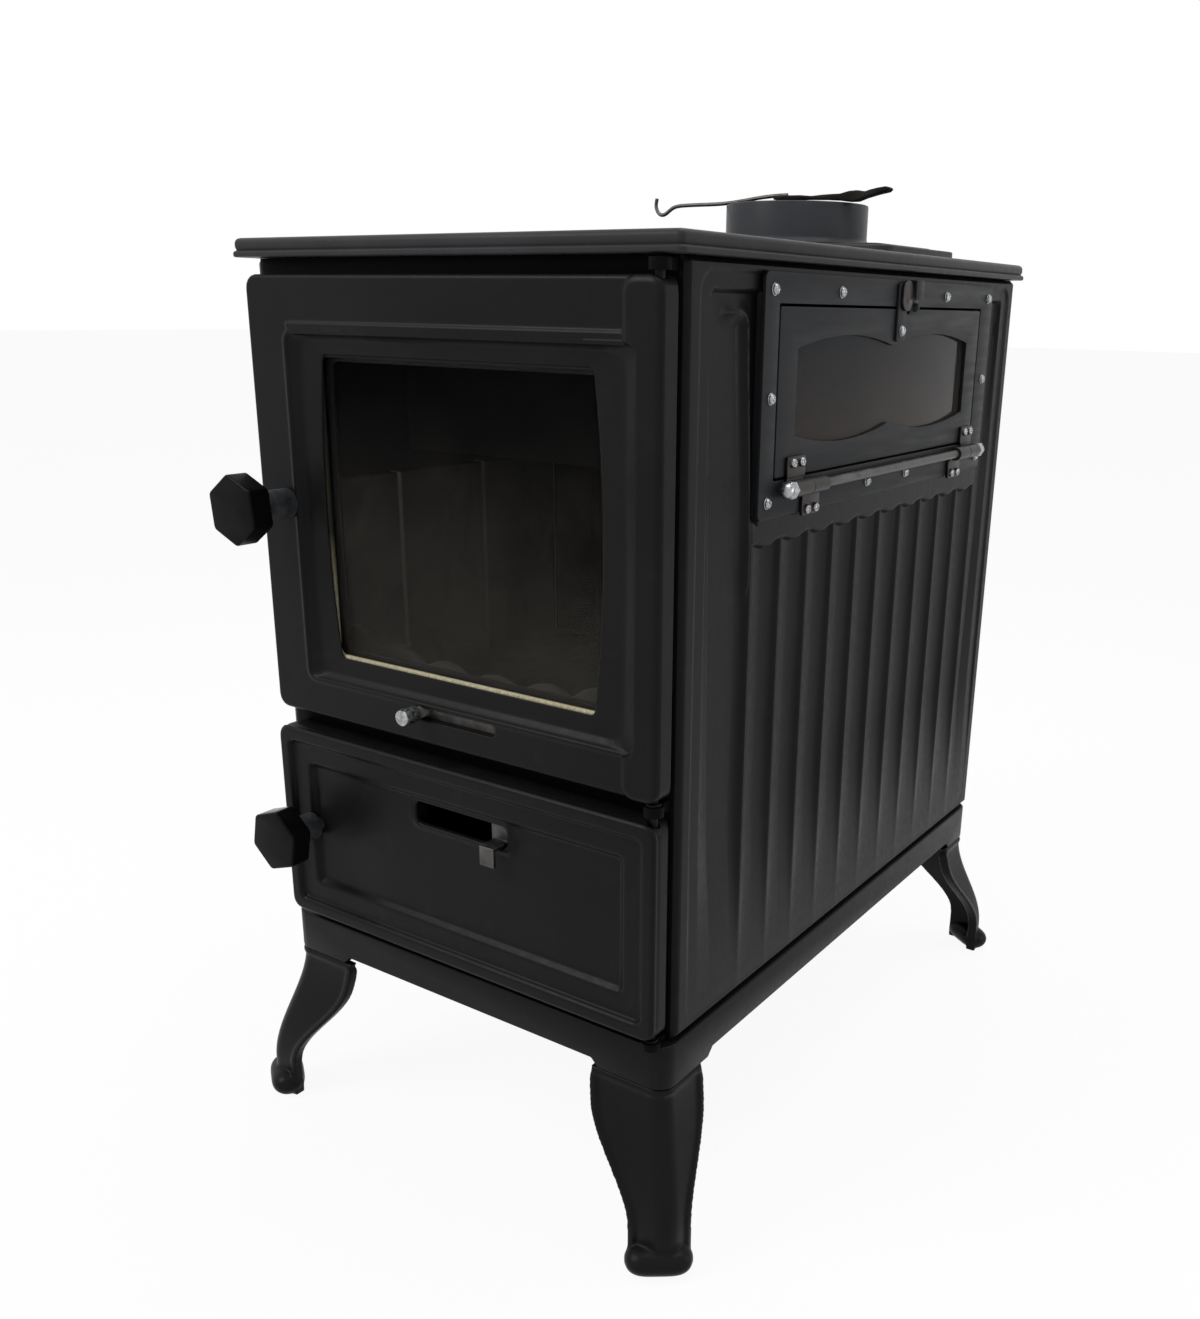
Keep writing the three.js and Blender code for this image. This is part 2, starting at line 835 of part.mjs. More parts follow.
function topPlate() {
  const plateRect = (inset) => roundedRect(
    -halfW - plateOverhang + inset,
    halfW + plateOverhang - inset,
    -halfD - plateFrontOverhang + inset,
    halfD + plateOverhang - inset,
    plateCorner,
  );
  const lip = slabZ(plateRect(plateLipInset), plateZ, plateZ + plateLip + over);
  const crown = slabZ(plateRect(0), plateZ + plateLip, plateTop, plateCrown, 2, 2);
  const bossRect = (inset, rearInset) => roundedRect(
    -bossHalfWidth + inset,
    bossHalfWidth - inset,
    collarCentreY - bossFront + inset,
    collarCentreY + bossRear - rearInset,
    bossCorner,
  );
  const boss = slabZ(bossRect(0, 0), plateTop - over, bossTop);
  const upperBoss = slabZ(bossRect(upperBossInset, upperBossRearInset), plateTop - over, upperBossTop);
  const flue = turnedZ(rodProfile(flueHole, plateZ - over, upperBossTop + over), 0, collarCentreY, 32);
  const throughRadius = lidSpigot + 2 * runningGap;
  const through = turnedZ(rodProfile(throughRadius, plateZ - over, plateTop + over), 0, lidCentreY, 32);
  const seat = plateTop - lidThickness;
  const rebate = turnedZ(rodProfile(lidRadius + 2 * runningGap, seat, plateTop + over), 0, lidCentreY, 32);
  return cut(join(lip, crown, boss, upperBoss), flue, through, rebate);
}

function flueCollar() {
  const z = upperBossTop + fitGap;
  const profile = [
    [collarBore, z],
    [collarOuter + collarFillet, z],
    [collarOuter + collarFillet, z + collarFlange],
    [collarOuter + collarFillet / 4, z + collarFlange + collarFillet / 2],
    [collarOuter, z + collarFlange + collarFillet],
    [collarOuter, collarTop],
    [collarBore, collarTop],
    [collarBore, z],
  ];
  return turnedZ(profile, 0, collarCentreY, 32);
}

function cooktopLid() {
  const seat = plateTop - lidThickness + fitGap;
  const profile = [
    [0, seat - lidSpigotDepth],
    [lidSpigot, seat - lidSpigotDepth],
    [lidSpigot, seat],
    [lidRadius, seat],
    [lidRadius, plateTop],
    [0, plateTop],
  ];
  const disc = turnedZ(profile, 0, lidCentreY, 32);
  const socket = turnedZ(
    rodProfile(lidSocketRadius, plateTop - lidSocketDepth, plateTop + over),
    0,
    lidCentreY - lidRadius / 2,
    12,
  );
  return cut(disc, socket);
}

addMesh('top_plate', topPlate(), ironPaint());
addMesh('flue_collar', flueCollar(), ironPaint());
addMesh('cooktop_lid', cooktopLid(), ironPaint());

// ---------- hearth ----------

const liningX = innerX - fitGap - liningThickness;
const hearthHalf = liningX - runningGap;

function grate() {
  const rear = hearthBack - fitGap;
  const slab = box(-hearthHalf, hearthHalf, hearthFront, rear, grateZ, grateZ + grateThickness);
  const span = 2 * hearthHalf - 2 * grateLedgeReach;
  const pitch = span / grateSlots;
  const slots = [];
  for (let i = 0; i < grateSlots; i += 1) {
    const x = -span / 2 + pitch * (i + 0.5);
    slots.push(box(
      x - grateSlotWidth / 2,
      x + grateSlotWidth / 2,
      hearthFront + grateSlotInset,
      hearthBack - grateSlotInset,
      grateZ - over,
      grateZ + grateThickness + over,
    ));
  }
  return cut(slab, ...slots);
}

function sideLining(side) {
  const x0 = side > 0 ? liningX : -liningX - liningThickness;
  return box(x0, x0 + liningThickness, hearthFront, hearthBack - fitGap, grateZ, grateZ + liningHeight);
}

function backLining() {
  const rear = hearthBack + liningThickness;
  const slab = box(-hearthHalf, hearthHalf, hearthBack, rear, grateZ, grateZ + liningHeight);
  const ribs = [-2, -1, 0, 1, 2].map((place) => box(
    place * liningRibPitch - liningRibWidth / 2,
    place * liningRibPitch + liningRibWidth / 2,
    hearthBack - liningRibHeight,
    hearthBack + over,
    grateZ + grateThickness + fitGap,
    grateZ + liningHeight,
  ));
  return join(slab, ...ribs);
}

// a low cast rail with a scalloped top, higher at its ends
function logGuard() {
  const x = hearthHalf - guardPlay;
  const z = grateZ + grateThickness + fitGap;
  const shape = new THREE.Shape();
  shape.moveTo(-x, z);
  shape.lineTo(x, z);
  const step = (2 * x) / guardScallops;
  const top = (at) => z + guardHeight * (guardMiddleShare + (1 - guardMiddleShare) * (at / x) ** 2);
  shape.lineTo(x, top(x));
  for (let i = 1; i <= guardScallops; i += 1) {
    const to = x - i * step;
    const middle = to + step / 2;
    shape.quadraticCurveTo(middle, top(middle) + guardHeight * guardWaveShare, to, top(to));
  }
  return slabY(shape, hearthFront + guardSetback, hearthFront + guardSetback + guardThickness, 0, 4);
}

function ashPan() {
  const y0 = hearthFront;
  const z0 = panelZ + panRailHeight + fitGap;
  const outer = box(-panHalfWidth, panHalfWidth, y0, y0 + panDepth, z0, z0 + panHeight);
  const inner = box(
    -panHalfWidth + panWall,
    panHalfWidth - panWall,
    y0 + panWall,
    y0 + panDepth - panWall,
    z0 + panWall,
    z0 + panHeight + over,
  );
  return cut(outer, inner);
}

addMesh('grate', grate(), plainIron());
addMesh('lining_left', sideLining(-1), plainIron());
addMesh('lining_right', sideLining(1), plainIron());
addMesh('lining_back', backLining(), plainIron());
addMesh('log_guard', logGuard(), plainIron());
addMesh('ash_pan', ashPan(), sheetSteel());

// ---------- firebox door ----------

// the glass opening has upright ends that bow outward; grow widens it on every side
function glassOpening(grow) {
  const x = glassOpeningWidth / 2 + grow;
  const z0 = fireBottom + glassMarginBottom - grow;
  const z1 = fireTop - glassMarginTop + grow;
  const middle = (z0 + z1) / 2;
  const shape = new THREE.Shape();
  shape.moveTo(glassOpeningX - x + glassBow, z0);
  shape.lineTo(glassOpeningX + x - glassBow, z0);
  shape.quadraticCurveTo(glassOpeningX + x + glassBow, middle, glassOpeningX + x - glassBow, z1);
  shape.lineTo(glassOpeningX - x + glassBow, z1);
  shape.quadraticCurveTo(glassOpeningX - x - glassBow, middle, glassOpeningX - x + glassBow, z0);
  return shape;
}

function pocketRect(inset) {
  return roundedRect(
    glassOpeningX - glassOpeningWidth / 2 - glassLap + inset,
    glassOpeningX + glassOpeningWidth / 2 + glassLap - inset,
    fireBottom + glassMarginBottom - glassLap + inset,
    fireTop - glassMarginTop + glassLap - inset,
    pocketCorner,
  );
}

// the back edge on the hinge side is cut away so that it clears the frame as the door swings
function hingeChamfer(right, z0, z1) {
  const shape = new THREE.Shape();
  shape.moveTo(right - doorEdgeChamfer - over, doorBack + over);
  shape.lineTo(right + over, doorBack - doorEdgeChamfer - over);
  shape.lineTo(right + over, doorBack + over);
  return slabZ(shape, z0 - over, z1 + over);
}

function pinBores(z0, z1) {
  const depth = pinReach + over;
  return [[z0 - over, z0 + depth], [z1 - depth, z1 + over]].map(([low, high]) => (
    turnedZ(rodProfile(pinRadius + pinPlay, low, high), hingeX, hingeY, 12)
  ));
}

function latchBore(z) {
  return turnedY(rodProfile(latchRadius + latchPlay, doorFront - over, doorBack + over), latchX, z, 16);
}

function slotTool(left, length, z, height, y0, y1, grow) {
  const shape = roundedRect(
    left - grow,
    left + length + grow,
    z - height / 2 - grow,
    z + height / 2 + grow,
    height * slotCornerShare,
  );
  return slabY(shape, y0, y1);
}

const fireSlotZ = fireBottom + fireSlotLift;
const ashSlotZ = ashBottom + ashSlotLift;
const slideY = webBack + fitGap;
const fireSlideLeft = fireSlotLeft - slideLap;
const fireSlideRight = fireSlotLeft + fireSlotLength + slideLap;
const fireSlideTravel = fireSlotLength - 2 * slideStemInset - slotEndPlay;

function fireboxDoor() {
  const outline = roundedRect(fireLeft, fireRight, fireBottom, fireTop, doorCorner);
  const slab = slabY(outline, railFront, doorBack, doorEdge);
  const stileRect = roundedRect(fireRight - stileWidth, fireRight, fireBottom, fireTop, doorCorner);
  const stile = slabY(stileRect, doorFront, railFront + 2 * railSetback, stileRound, 2, 2);
  const recess = slabY(
    roundedRect(
      fireLeft + recessLeft,
      fireRight - stileWidth,
      fireBottom + recessMargin,
      fireTop - recessTop,
      doorCorner,
    ),
    railFront - over,
    railFront + recessDepth,
  );
  const funnel = slabY(
    glassOpening(openingBevel),
    railFront - 2 * openingBevel,
    railFront + recessDepth + openingBevel,
    openingBevel,
    4,
  );
  const front = doorFront - over;
  const back = doorBack + over;
  const through = slabY(glassOpening(0), front, back, 0, 4);
  const pocket = slabY(pocketRect(0), webBack, back);
  const slot = slotTool(fireSlotLeft, fireSlotLength, fireSlotZ, fireSlotHeight, front, back, 0);
  const channel = box(
    fireSlideLeft - over,
    fireSlideRight + fireSlideTravel + over,
    webBack,
    back,
    fireSlotZ - fireSlotHeight / 2 - slideLap - runningGap,
    fireSlotZ + fireSlotHeight / 2 + slideLap + runningGap,
  );
  return cut(
    join(slab, stile),
    recess,
    funnel,
    through,
    pocket,
    slot,
    channel,
    hingeChamfer(fireRight, fireBottom, fireTop),
    latchBore(fireLatchZ),
    ...pinBores(fireBottom, fireTop),
  );
}

const ropeY = webBack + fitGap;
const glassY = ropeY + ropeThickness + fitGap;
const retainerY = glassY + glassThickness + fitGap;

function ropeGasket() {
  const shape = pocketRect(fitGap);
  shape.holes.push(pocketRect(glassLap + ropeShow));
  return slabY(shape, ropeY, ropeY + ropeThickness, 1);
}

function glassRetainer() {
  const shape = pocketRect(fitGap);
  shape.holes.push(pocketRect(retainerWidth));
  return slabY(shape, retainerY, retainerY + retainerThickness);
}

addMesh('firebox_door', fireboxDoor(), ironPaint());
addMesh('firebox_glass', slabY(pocketRect(runningGap), glassY, glassY + glassThickness), clearGlass());
addMesh('glass_rope', ropeGasket(), rope());
addMesh('glass_retainer', glassRetainer(), sheetSteel());

// the slide covers the slot at rest and uncovers it as it moves to the right
function fireAirSlide() {
  const plate = box(
    fireSlideLeft,
    fireSlideRight,
    slideY,
    slideY + slideThickness,
    fireSlotZ - fireSlotHeight / 2 - slideLap,
    fireSlotZ + fireSlotHeight / 2 + slideLap,
  );
  const collar = turnedY(
    rodProfile(slideSleeveRadius, doorFront - over, slideY + over),
    slideStemX,
    fireSlotZ,
    12,
  );
  const stem = turnedY(
    rodProfile(slideStemRadius, doorFront - slideStemReach, slideY + over),
    slideStemX,
    fireSlotZ,
    10,
  );
  return join(plate, collar, stem);
}

function fireSlideKnob() {
  const y = doorFront - over - fitGap;
  const bore = slideStemRadius + runningGap;
  const profile = [
    [0, y - slideKnobLength],
    [slideKnobRadius - edgeRadius, y - slideKnobLength],
    [slideKnobRadius, y - slideKnobLength + edgeRadius],
    [slideKnobRadius, y],
    [bore, y],
    [bore, y - slideKnobBore],
    [0, y - slideKnobBore],
  ];
  return turnedY(profile, slideStemX, fireSlotZ, 14);
}

addMesh('firebox_air_slide', fireAirSlide(), zinc());
addMesh('firebox_air_knob', fireSlideKnob(), zinc());

// ---------- ash door ----------

const ashLeft = doorCentreX - ashDoorWidth / 2;
const ashRight = doorCentreX + ashDoorWidth / 2;
const ashFieldY = railFront + recessDepth;
const ashTabX = ashSlotLeft + ashSlotLength - tabWidth - slotEndPlay;
const ashSlideTravel = ashSlotLength - tabWidth - 2 * slotEndPlay;
const ashSlideLeft = ashTabX - slotEndPlay;
const ashSlideRight = ashSlideLeft + ashSlotLength + 2 * slideLap;

function ashRect(inset, radius) {
  return roundedRect(ashLeft + inset, ashRight - inset, ashBottom + inset, ashTop - inset, radius);
}

function ashDoor() {
  const slab = slabY(ashRect(0, doorCorner), railFront, doorBack, doorEdge);
  const rimShape = ashRect(0, doorCorner);
  rimShape.holes.push(ashRect(ashRimWidth, doorCorner / 2));
  const rim = slabY(rimShape, doorFront, railFront + over, ashRimRound);
  const field = slabY(
    ashRect(ashBandInset, doorCorner / 2),
    railFront - 2 * recessDepth,
    ashFieldY,
    recessDepth,
  );
  const slotPlace = [ashSlotLeft, ashSlotLength, ashSlotZ, ashSlotHeight];
  const slotRing = slotTool(...slotPlace, ashFieldY - slotRimHeight, ashFieldY + over, slotRim);
  const slot = slotTool(...slotPlace, doorFront - over, doorBack + over, 0);
  const channel = box(
    ashSlideLeft - ashSlideTravel - over,
    ashSlideRight + over,
    webBack,
    doorBack + over,
    ashSlotZ - ashSlotHeight / 2 - slideLap - runningGap,
    ashSlotZ + ashSlotHeight / 2 + slideLap + runningGap,
  );
  return cut(
    join(cut(join(slab, rim), field), slotRing),
    slot,
    channel,
    hingeChamfer(ashRight, ashBottom, ashTop),
    latchBore(ashLatchZ),
    ...pinBores(ashBottom, ashTop),
  );
}

function ashAirSlide() {
  const plate = box(
    ashSlideLeft,
    ashSlideRight,
    slideY,
    slideY + slideThickness,
    ashSlotZ - ashSlotHeight / 2 - slideLap,
    ashSlotZ + ashSlotHeight / 2 + slideLap,
  );
  const z = ashSlotZ - ashSlotHeight / 2 + tabLift;
  const right = ashTabX + tabWidth;
  const front = doorFront - tabReach;
  const arm = box(ashTabX, right, front, slideY + over, z, z + slideThickness);
  const tab = box(ashTabX, right, front, front + slideThickness, z - tabDrop + slideThickness, z + over);
  return join(plate, arm, tab);
}

addMesh('ash_door', ashDoor(), ironPaint());
addMesh('ash_air_slide', ashAirSlide(), steel());

// ---------- latches and knobs ----------

// the tongue hangs down at rest and turns to the left behind the frame
function latch(z, standoff) {
  const tongueFront = frameBack + tongueGap;
  const tongue = box(
    latchX - tongueWidth / 2,
    latchX + tongueWidth / 2,
    tongueFront,
    tongueFront + tongueThickness,
    z - tongueLength,
    z + tongueWidth / 2,
  );
  const hubBack = railFront - runningGap;
  const hubFront = doorFront - standoff;
  const profile = [
    [0, hubFront - studLength],
    [studRadius, hubFront - studLength],
    [studRadius, hubFront],
    [latchHubRadius - hubChamfer, hubFront],
    [latchHubRadius, hubFront + hubChamfer],
    [latchHubRadius, hubBack],
    [latchRadius, hubBack],
    [latchRadius, tongueFront + over],
    [0, tongueFront + over],
  ];
  return join(turnedY(profile, latchX, z, 16), tongue);
}

function hexKnob(z, standoff, tilt) {
  const outline = hexagon(knobCorner, Math.PI / 2 + tilt);
  const back = doorFront - standoff - fitGap;
  const prism = slabY(outline, back - knobThickness, back, knobEdge).translate(latchX, 0, z);
  const bore = rodProfile(studRadius + pinPlay, back - studLength - over, back + over);
  return cut(prism, turnedY(bore, latchX, z, 12));
}

addMesh('firebox_latch', latch(fireLatchZ, fireKnobStandoff), steel());
addMesh('firebox_knob', hexKnob(fireLatchZ, fireKnobStandoff, knobTilt), bakelite());
addMesh('ash_latch', latch(ashLatchZ, ashKnobStandoff), steel());
addMesh('ash_knob', hexKnob(ashLatchZ, ashKnobStandoff, -2 * knobTilt), bakelite());

// ---------- hinge pins of the front doors ----------

// a pin from z0 to z1 whose collar carries the door above a lug
function hingePin(z0, z1, collarLow) {
  const profile = [[0, z0], [pinRadius, z0]];
  if (collarLow !== null) {
    const high = collarLow + lugGap - 2 * fitGap;
    profile.push([pinRadius, collarLow], [collarRadius, collarLow], [collarRadius, high], [pinRadius, high]);
  }
  profile.push([pinRadius, z1], [0, z1]);
  return turnedZ(profile, hingeX, hingeY, 12);
}

const [topLug, middleLug, bottomLug] = lugLevels;
addMesh('hinge_pin_top', hingePin(fireTop - pinReach, topLug[1], null), steel());
addMesh(
  'hinge_pin_middle',
  hingePin(ashTop - pinReach, fireBottom + pinReach, middleLug[1] + fitGap),
  steel(),
);
addMesh('hinge_pin_bottom', hingePin(bottomLug[0], ashBottom + pinReach, bottomLug[1] + fitGap), steel());

// ---------- oven ----------

const ovenInnerHalf = ovenBoxHalfY - sheet;
const ovenFloor = ovenBoxBottom + sheet;
const trayZ = ovenFloor + trayLift;

function ovenBox() {
  const left = ovenBoxLeft;
  const y = ovenDoorCentreY;
  const outer = box(left, ovenBoxRight, y - ovenBoxHalfY, y + ovenBoxHalfY, ovenBoxBottom, ovenBoxTop);
  const inner = box(
    left + sheet,
    ovenBoxRight + over,
    y - ovenInnerHalf,
    y + ovenInnerHalf,
    ovenFloor,
    ovenBoxTop - sheet,
  );
  const rails = [-1, 1].map((side) => box(
    left + sheet,
    ovenBoxRight - traySetback,
    y + side * ovenInnerHalf - (side > 0 ? trayRail : over),
    y + side * ovenInnerHalf + (side > 0 ? over : trayRail),
    trayZ - sheet,
    trayZ,
  ));
  return join(cut(outer, inner), ...rails);
}

function ovenTray() {
  const y = ovenDoorCentreY;
  const half = ovenInnerHalf - runningGap;
  const left = ovenBoxLeft + 2 * sheet;
  const right = ovenBoxRight - traySetback;
  const low = trayZ + fitGap;
  const high = low + trayRim;
  const innerHalf = half - sheet;
  const outer = box(left, right, y - half, y + half, low, high);
  const inner = box(left + sheet, right - sheet, y - innerHalf, y + innerHalf, low + sheet, high + over);
  return cut(outer, inner);
}

function ovenFrame() {
  const y = ovenFrameCentreY;
  const half = ovenFrameWidth / 2;
  const outline = roundedRect(y - half, y + half, ovenFrameBottom, ovenFrameTop, doorCorner / 2);
  const doorHalf = ovenDoorWidth / 2 + ovenDoorPlay;
  outline.holes.push(roundedRect(
    ovenDoorCentreY - doorHalf,
    ovenDoorCentreY + doorHalf,
    ovenDoorBottom - ovenDoorPlay,
    ovenDoorTop + ovenDoorPlay,
    edgeRadius,
  ));
  return cut(slabX(outline, ovenFrameIn, ovenFrameOut), ...frameBoltPlaces.map(boltHole));
}

// a window of two lobes that meet in a shallow dip
function ovenWindow() {
  const y = ovenDoorCentreY;
  const half = ovenWindowWidth / 2;
  const low = -ovenWindowHeight / 2 + ovenWindowBulge / 2;
  const high = -low;
  const shape = new THREE.Shape();
  shape.moveTo(y - half, ovenMidZ + low);
  shape.quadraticCurveTo(y - half / 2, ovenMidZ + low - ovenWindowBulge * 2, y, ovenMidZ + low);
  shape.quadraticCurveTo(y + half / 2, ovenMidZ + low - ovenWindowBulge * 2, y + half, ovenMidZ + low);
  shape.lineTo(y + half, ovenMidZ + high);
  shape.quadraticCurveTo(y + half / 2, ovenMidZ + high + ovenWindowBulge * 2, y, ovenMidZ + high);
  shape.quadraticCurveTo(y - half / 2, ovenMidZ + high + ovenWindowBulge * 2, y - half, ovenMidZ + high);
  return shape;
}

function ovenDoor() {
  const half = ovenDoorWidth / 2;
  const outline = roundedRect(
    ovenDoorCentreY - half,
    ovenDoorCentreY + half,
    ovenDoorBottom,
    ovenDoorTop,
    doorEdge,
  );
  return cut(
    slabX(outline, ovenFrameIn, ovenFrameOut),
    slabX(ovenWindow(), ovenFrameIn - over, ovenFrameOut + over, 0, 6),
  );
}

function ovenGlass() {
  const halfY = ovenWindowWidth / 2 + ovenGlassLap;
  const halfZ = ovenWindowHeight / 2 + ovenGlassLap;
  return box(
    ovenFrameIn - fitGap - glassThickness,
    ovenFrameIn - fitGap,
    ovenDoorCentreY - halfY,
    ovenDoorCentreY + halfY,
    ovenMidZ - halfZ,
    ovenMidZ + halfZ,
  );
}

// a rolled hinge half: direction 1 lies on the door above the rod, -1 on the frame below it
function hingeHalf(y0, direction, leafY0) {
  const profile = [
    [ovenRodRadius + ovenRodPlay, y0],
    [knuckleRadius, y0],
    [knuckleRadius, y0 + knuckleLength],
    [ovenRodRadius + ovenRodPlay, y0 + knuckleLength],
    [ovenRodRadius + ovenRodPlay, y0],
  ];
  const barrel = turnedY(profile, rodX, rodZ, 12);
  const strap = (start, length, from, to) => box(
    leafIn,
    leafIn + leafThickness,
    start,
    start + length,
    rodZ + Math.min(direction * from, direction * to),
    rodZ + Math.max(direction * from, direction * to),
  );
  const leafStart = knuckleRadius + runningGap;
  const leaf = strap(leafY0, leafWidth, leafStart, leafHeight);
  const neck = strap(y0, knuckleLength, 0, leafStart + over);
  const heads = [-1, 1].map((side) => turnedX(
    boltProfile(boltShankRadius, smallHeadRadius, leafIn + over, leafIn + leafThickness),
    leafY0 + leafWidth / 2 + side * leafBoltHalf,
    rodZ + direction * leafBoltHeight,
    8,
  ));
  return join(barrel, leaf, neck, ...heads);
}

function hingeRod() {
  const half = hingeHalfSpan;
  const y = ovenHingeCentreY;
  return turnedY(
    [
      [0, y - half - nutLength],
      [rodThread, y - half - nutLength],
      [rodThread, y - half],
      [ovenRodRadius, y - half],
      [ovenRodRadius, y + half],
      [rodThread, y + half],
      [rodThread, y + half + nutLength],
      [0, y + half + nutLength],
    ],
    rodX,
    rodZ,
    12,
  );
}

function acornNut(side) {
  const start = hingeHalfSpan + fitGap;
  const bore = rodThread + 2 * runningGap;
  const profile = [
    [0, start + nutLength],
    [bore, start + nutLength],
    [bore, start],
    [nutRadius, start],
    [nutRadius, start + nutLength],
    [nutShoulder, start + nutLength + nutDome * (2 / 3)],
    [0, start + nutLength + nutDome],
  ];
  const nut = turned(profile, 6);
  const facing = side > 0 ? nut : nut.rotateX(Math.PI);
  return facing.translate(rodX, ovenHingeCentreY, rodZ);
}

addMesh('oven_box', ovenBox(), sheetSteel());
addMesh('oven_tray', ovenTray(), plainIron());
addMesh('oven_frame', ovenFrame(), sheetSteel());
for (const place of frameBoltPlaces) {
  addMesh(`frame_bolt_${place[0]}`, frameBolt(place), zinc());
}
addMesh('oven_door', ovenDoor(), sheetSteel());
addMesh('oven_glass', ovenGlass(), clearGlass());

const frontEnd = ovenHingeCentreY - hingeHalfSpan;
const rearEnd = ovenHingeCentreY + hingeHalfSpan;
const knuckleStep = knuckleLength + runningGap;
addMesh(
  'oven_door_hinge_front',
  hingeHalf(frontEnd, 1, frontEnd),
  sheetSteel(),
);
addMesh(
  'oven_frame_hinge_front',
  hingeHalf(frontEnd + knuckleStep, -1, frontEnd + knuckleStep),
  sheetSteel(),
);
addMesh(
  'oven_frame_hinge_rear',
  hingeHalf(rearEnd - knuckleStep - knuckleLength, -1, rearEnd - knuckleStep - leafWidth),
  sheetSteel(),
);
addMesh(
  'oven_door_hinge_rear',
  hingeHalf(rearEnd - knuckleLength, 1, rearEnd - leafWidth),
  sheetSteel(),
);
addMesh('oven_hinge_rod', hingeRod(), steel());
addMesh('acorn_nut_front', acornNut(-1), zinc());
addMesh('acorn_nut_rear', acornNut(1), zinc());

// ---------- oven latch ----------

const stripTop = ovenFrameTop - stripTopDrop;
const stripOut = leafIn + stripThickness;
const tabIn = stripOut + fitGap;
const tabPivotZ = ovenFrameTop - tabPivotDrop;

function latchStrip() {
  const strip = roundedRect(
    stripY - stripWidth / 2,
    stripY + stripWidth / 2,
    ovenDoorTop - stripFootDrop,
    stripTop,
    stripCorner,
  );
  const eyeProfile = rodProfile(rivetRadius + runningGap, leafIn - over, stripOut + over);
  const eye = turnedX(eyeProfile, tabPivotY, tabPivotZ, 10);
  const head = turnedX(
    boltProfile(boltShankRadius, boltHeadRadius, leafIn + over, stripOut),
    stripY,
    ovenDoorTop - stripFootDrop + stripWidth / 2,
    8,
  );
  return join(cut(slabX(strip, leafIn, stripOut), eye), head);
}

// upright at rest; turned a quarter it reaches in behind the keeper's lip
function latchTab() {
  const centreZ = tabPivotZ + tabOffset;
  const outline = roundedRect(
    tabPivotY - tabHalfWidth,
    tabPivotY + tabHalfWidth,
    centreZ - tabHalfLength,
    centreZ + tabHalfLength,
    tabHalfWidth - edgeRadius,
  );
  const rivet = turnedX(rodProfile(rivetRadius, leafIn + fitGap, tabIn + over), tabPivotY, tabPivotZ, 10);
  return join(slabX(outline, tabIn, tabIn + tabThickness), rivet);
}

function latchKeeper() {
  const y0 = keeperY - keeperWidth / 2;
  const y1 = keeperY + keeperWidth / 2;
  const lipIn = tabIn + tabThickness + runningGap;
  const top = ovenFrameTop;
  const foot = box(leafIn, stripOut, y0, y1, top - keeperDrop, top);
  const bend = box(leafIn, lipIn + stripThickness, y0, y1, top - stripThickness, top);
  const lip = box(lipIn, lipIn + stripThickness, y0, y1, top - keeperLip, top);
  const head = turnedX(
    boltProfile(boltShankRadius, smallHeadRadius, leafIn + over, stripOut),
    y1 - keeperBoltInset,
    top - keeperBoltDrop,
    8,
  );
  return join(foot, bend, lip, head);
}

addMesh('oven_latch_strip', latchStrip(), sheetSteel());
addMesh('oven_latch_tab', latchTab(), steel());
addMesh('oven_latch_keeper', latchKeeper(), sheetSteel());

// ---------- poker, laid across the flue collar ----------

function pokerRod() {
  const z = collarTop + pokerWire + fitGap;
  const hook = pokerHookSize;
  const points = [
    [pokerHookX - 0.95 * hook, z + 0.36 * hook],
    [pokerHookX - hook, z - 0.1 * hook],
    [pokerHookX - 0.77 * hook, z - 0.45 * hook],
    [pokerHookX - 0.4 * hook, z - 0.4 * hook],
    [pokerHookX, z - 0.05 * hook],
    [pokerHookX + 0.64 * hook, z],
    [-collarOuter, z],
    [pokerGripStart - 2 * pokerSocket, z + pokerRise / 2],
    [pokerGripStart - pokerSocket / 2, z + pokerRise],
    [pokerGripStart, z + pokerRise],
    [pokerGripStart + pokerSocket - pokerWire, z + pokerRise],
  ].map(([x, height]) => new THREE.Vector3(x, pokerY, height));
  const path = new THREE.CatmullRomCurve3(points);
  return new THREE.ExtrudeGeometry(hexagon(pokerWire), { steps: 26, bevelEnabled: false, extrudePath: path });
}

// a cast finger grip with a wavy top; its heel rests on the collar's rim
function pokerGrip() {
  const z = collarTop + fitGap;
  const a = pokerGripStart;
  const along = (share) => a + (pokerGripEnd - a) * share;
  const up = (share) => z + pokerGripRise * share;
  const shape = new THREE.Shape();
  shape.moveTo(a, up(0.3));
  shape.lineTo(along(0.3), up(0.25));
  shape.quadraticCurveTo(along(0.55), up(0.2), collarOuter - pokerHeelIn, z);
  shape.lineTo(collarOuter + pokerHeelOut, z);
  shape.quadraticCurveTo(along(0.84), up(0.4), along(0.98), up(0.6));
  shape.quadraticCurveTo(along(1.03), up(0.85), along(0.97), up(1));
  shape.quadraticCurveTo(along(0.86), up(0.9), along(0.8), up(0.7));
  shape.quadraticCurveTo(along(0.7), up(0.95), along(0.59), up(0.6));
  shape.quadraticCurveTo(along(0.45), up(0.6), along(0.34), up(0.5));
  shape.quadraticCurveTo(along(0.19), up(0.7), a, up(0.55));
  const half = pokerGripWidth / 2;
  const grip = slabY(shape, pokerY - half, pokerY + half, edgeRadius, 3);
  const socket = rodProfile(pokerWire + runningGap + fitGap, a - over, a + pokerSocket);
  return cut(grip, turnedX(socket, pokerY, z + pokerWire + pokerRise, 8));
}

addMesh('poker_rod', pokerRod(), steel());
addMesh('poker_grip', pokerGrip(), plainIron());

export default stove;
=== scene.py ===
"""A rectangular cast-iron wood cookstove on cabriole legs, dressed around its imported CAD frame.

Lengths in the functions below are in millimetres, measured from the middle of the stove's body
at floor level; metres() turns them into the frame's own metres.
"""

import json
from math import cos, exp, hypot, pi, radians, sin, sqrt

import bmesh
import bpy
from mathutils import Matrix, Vector

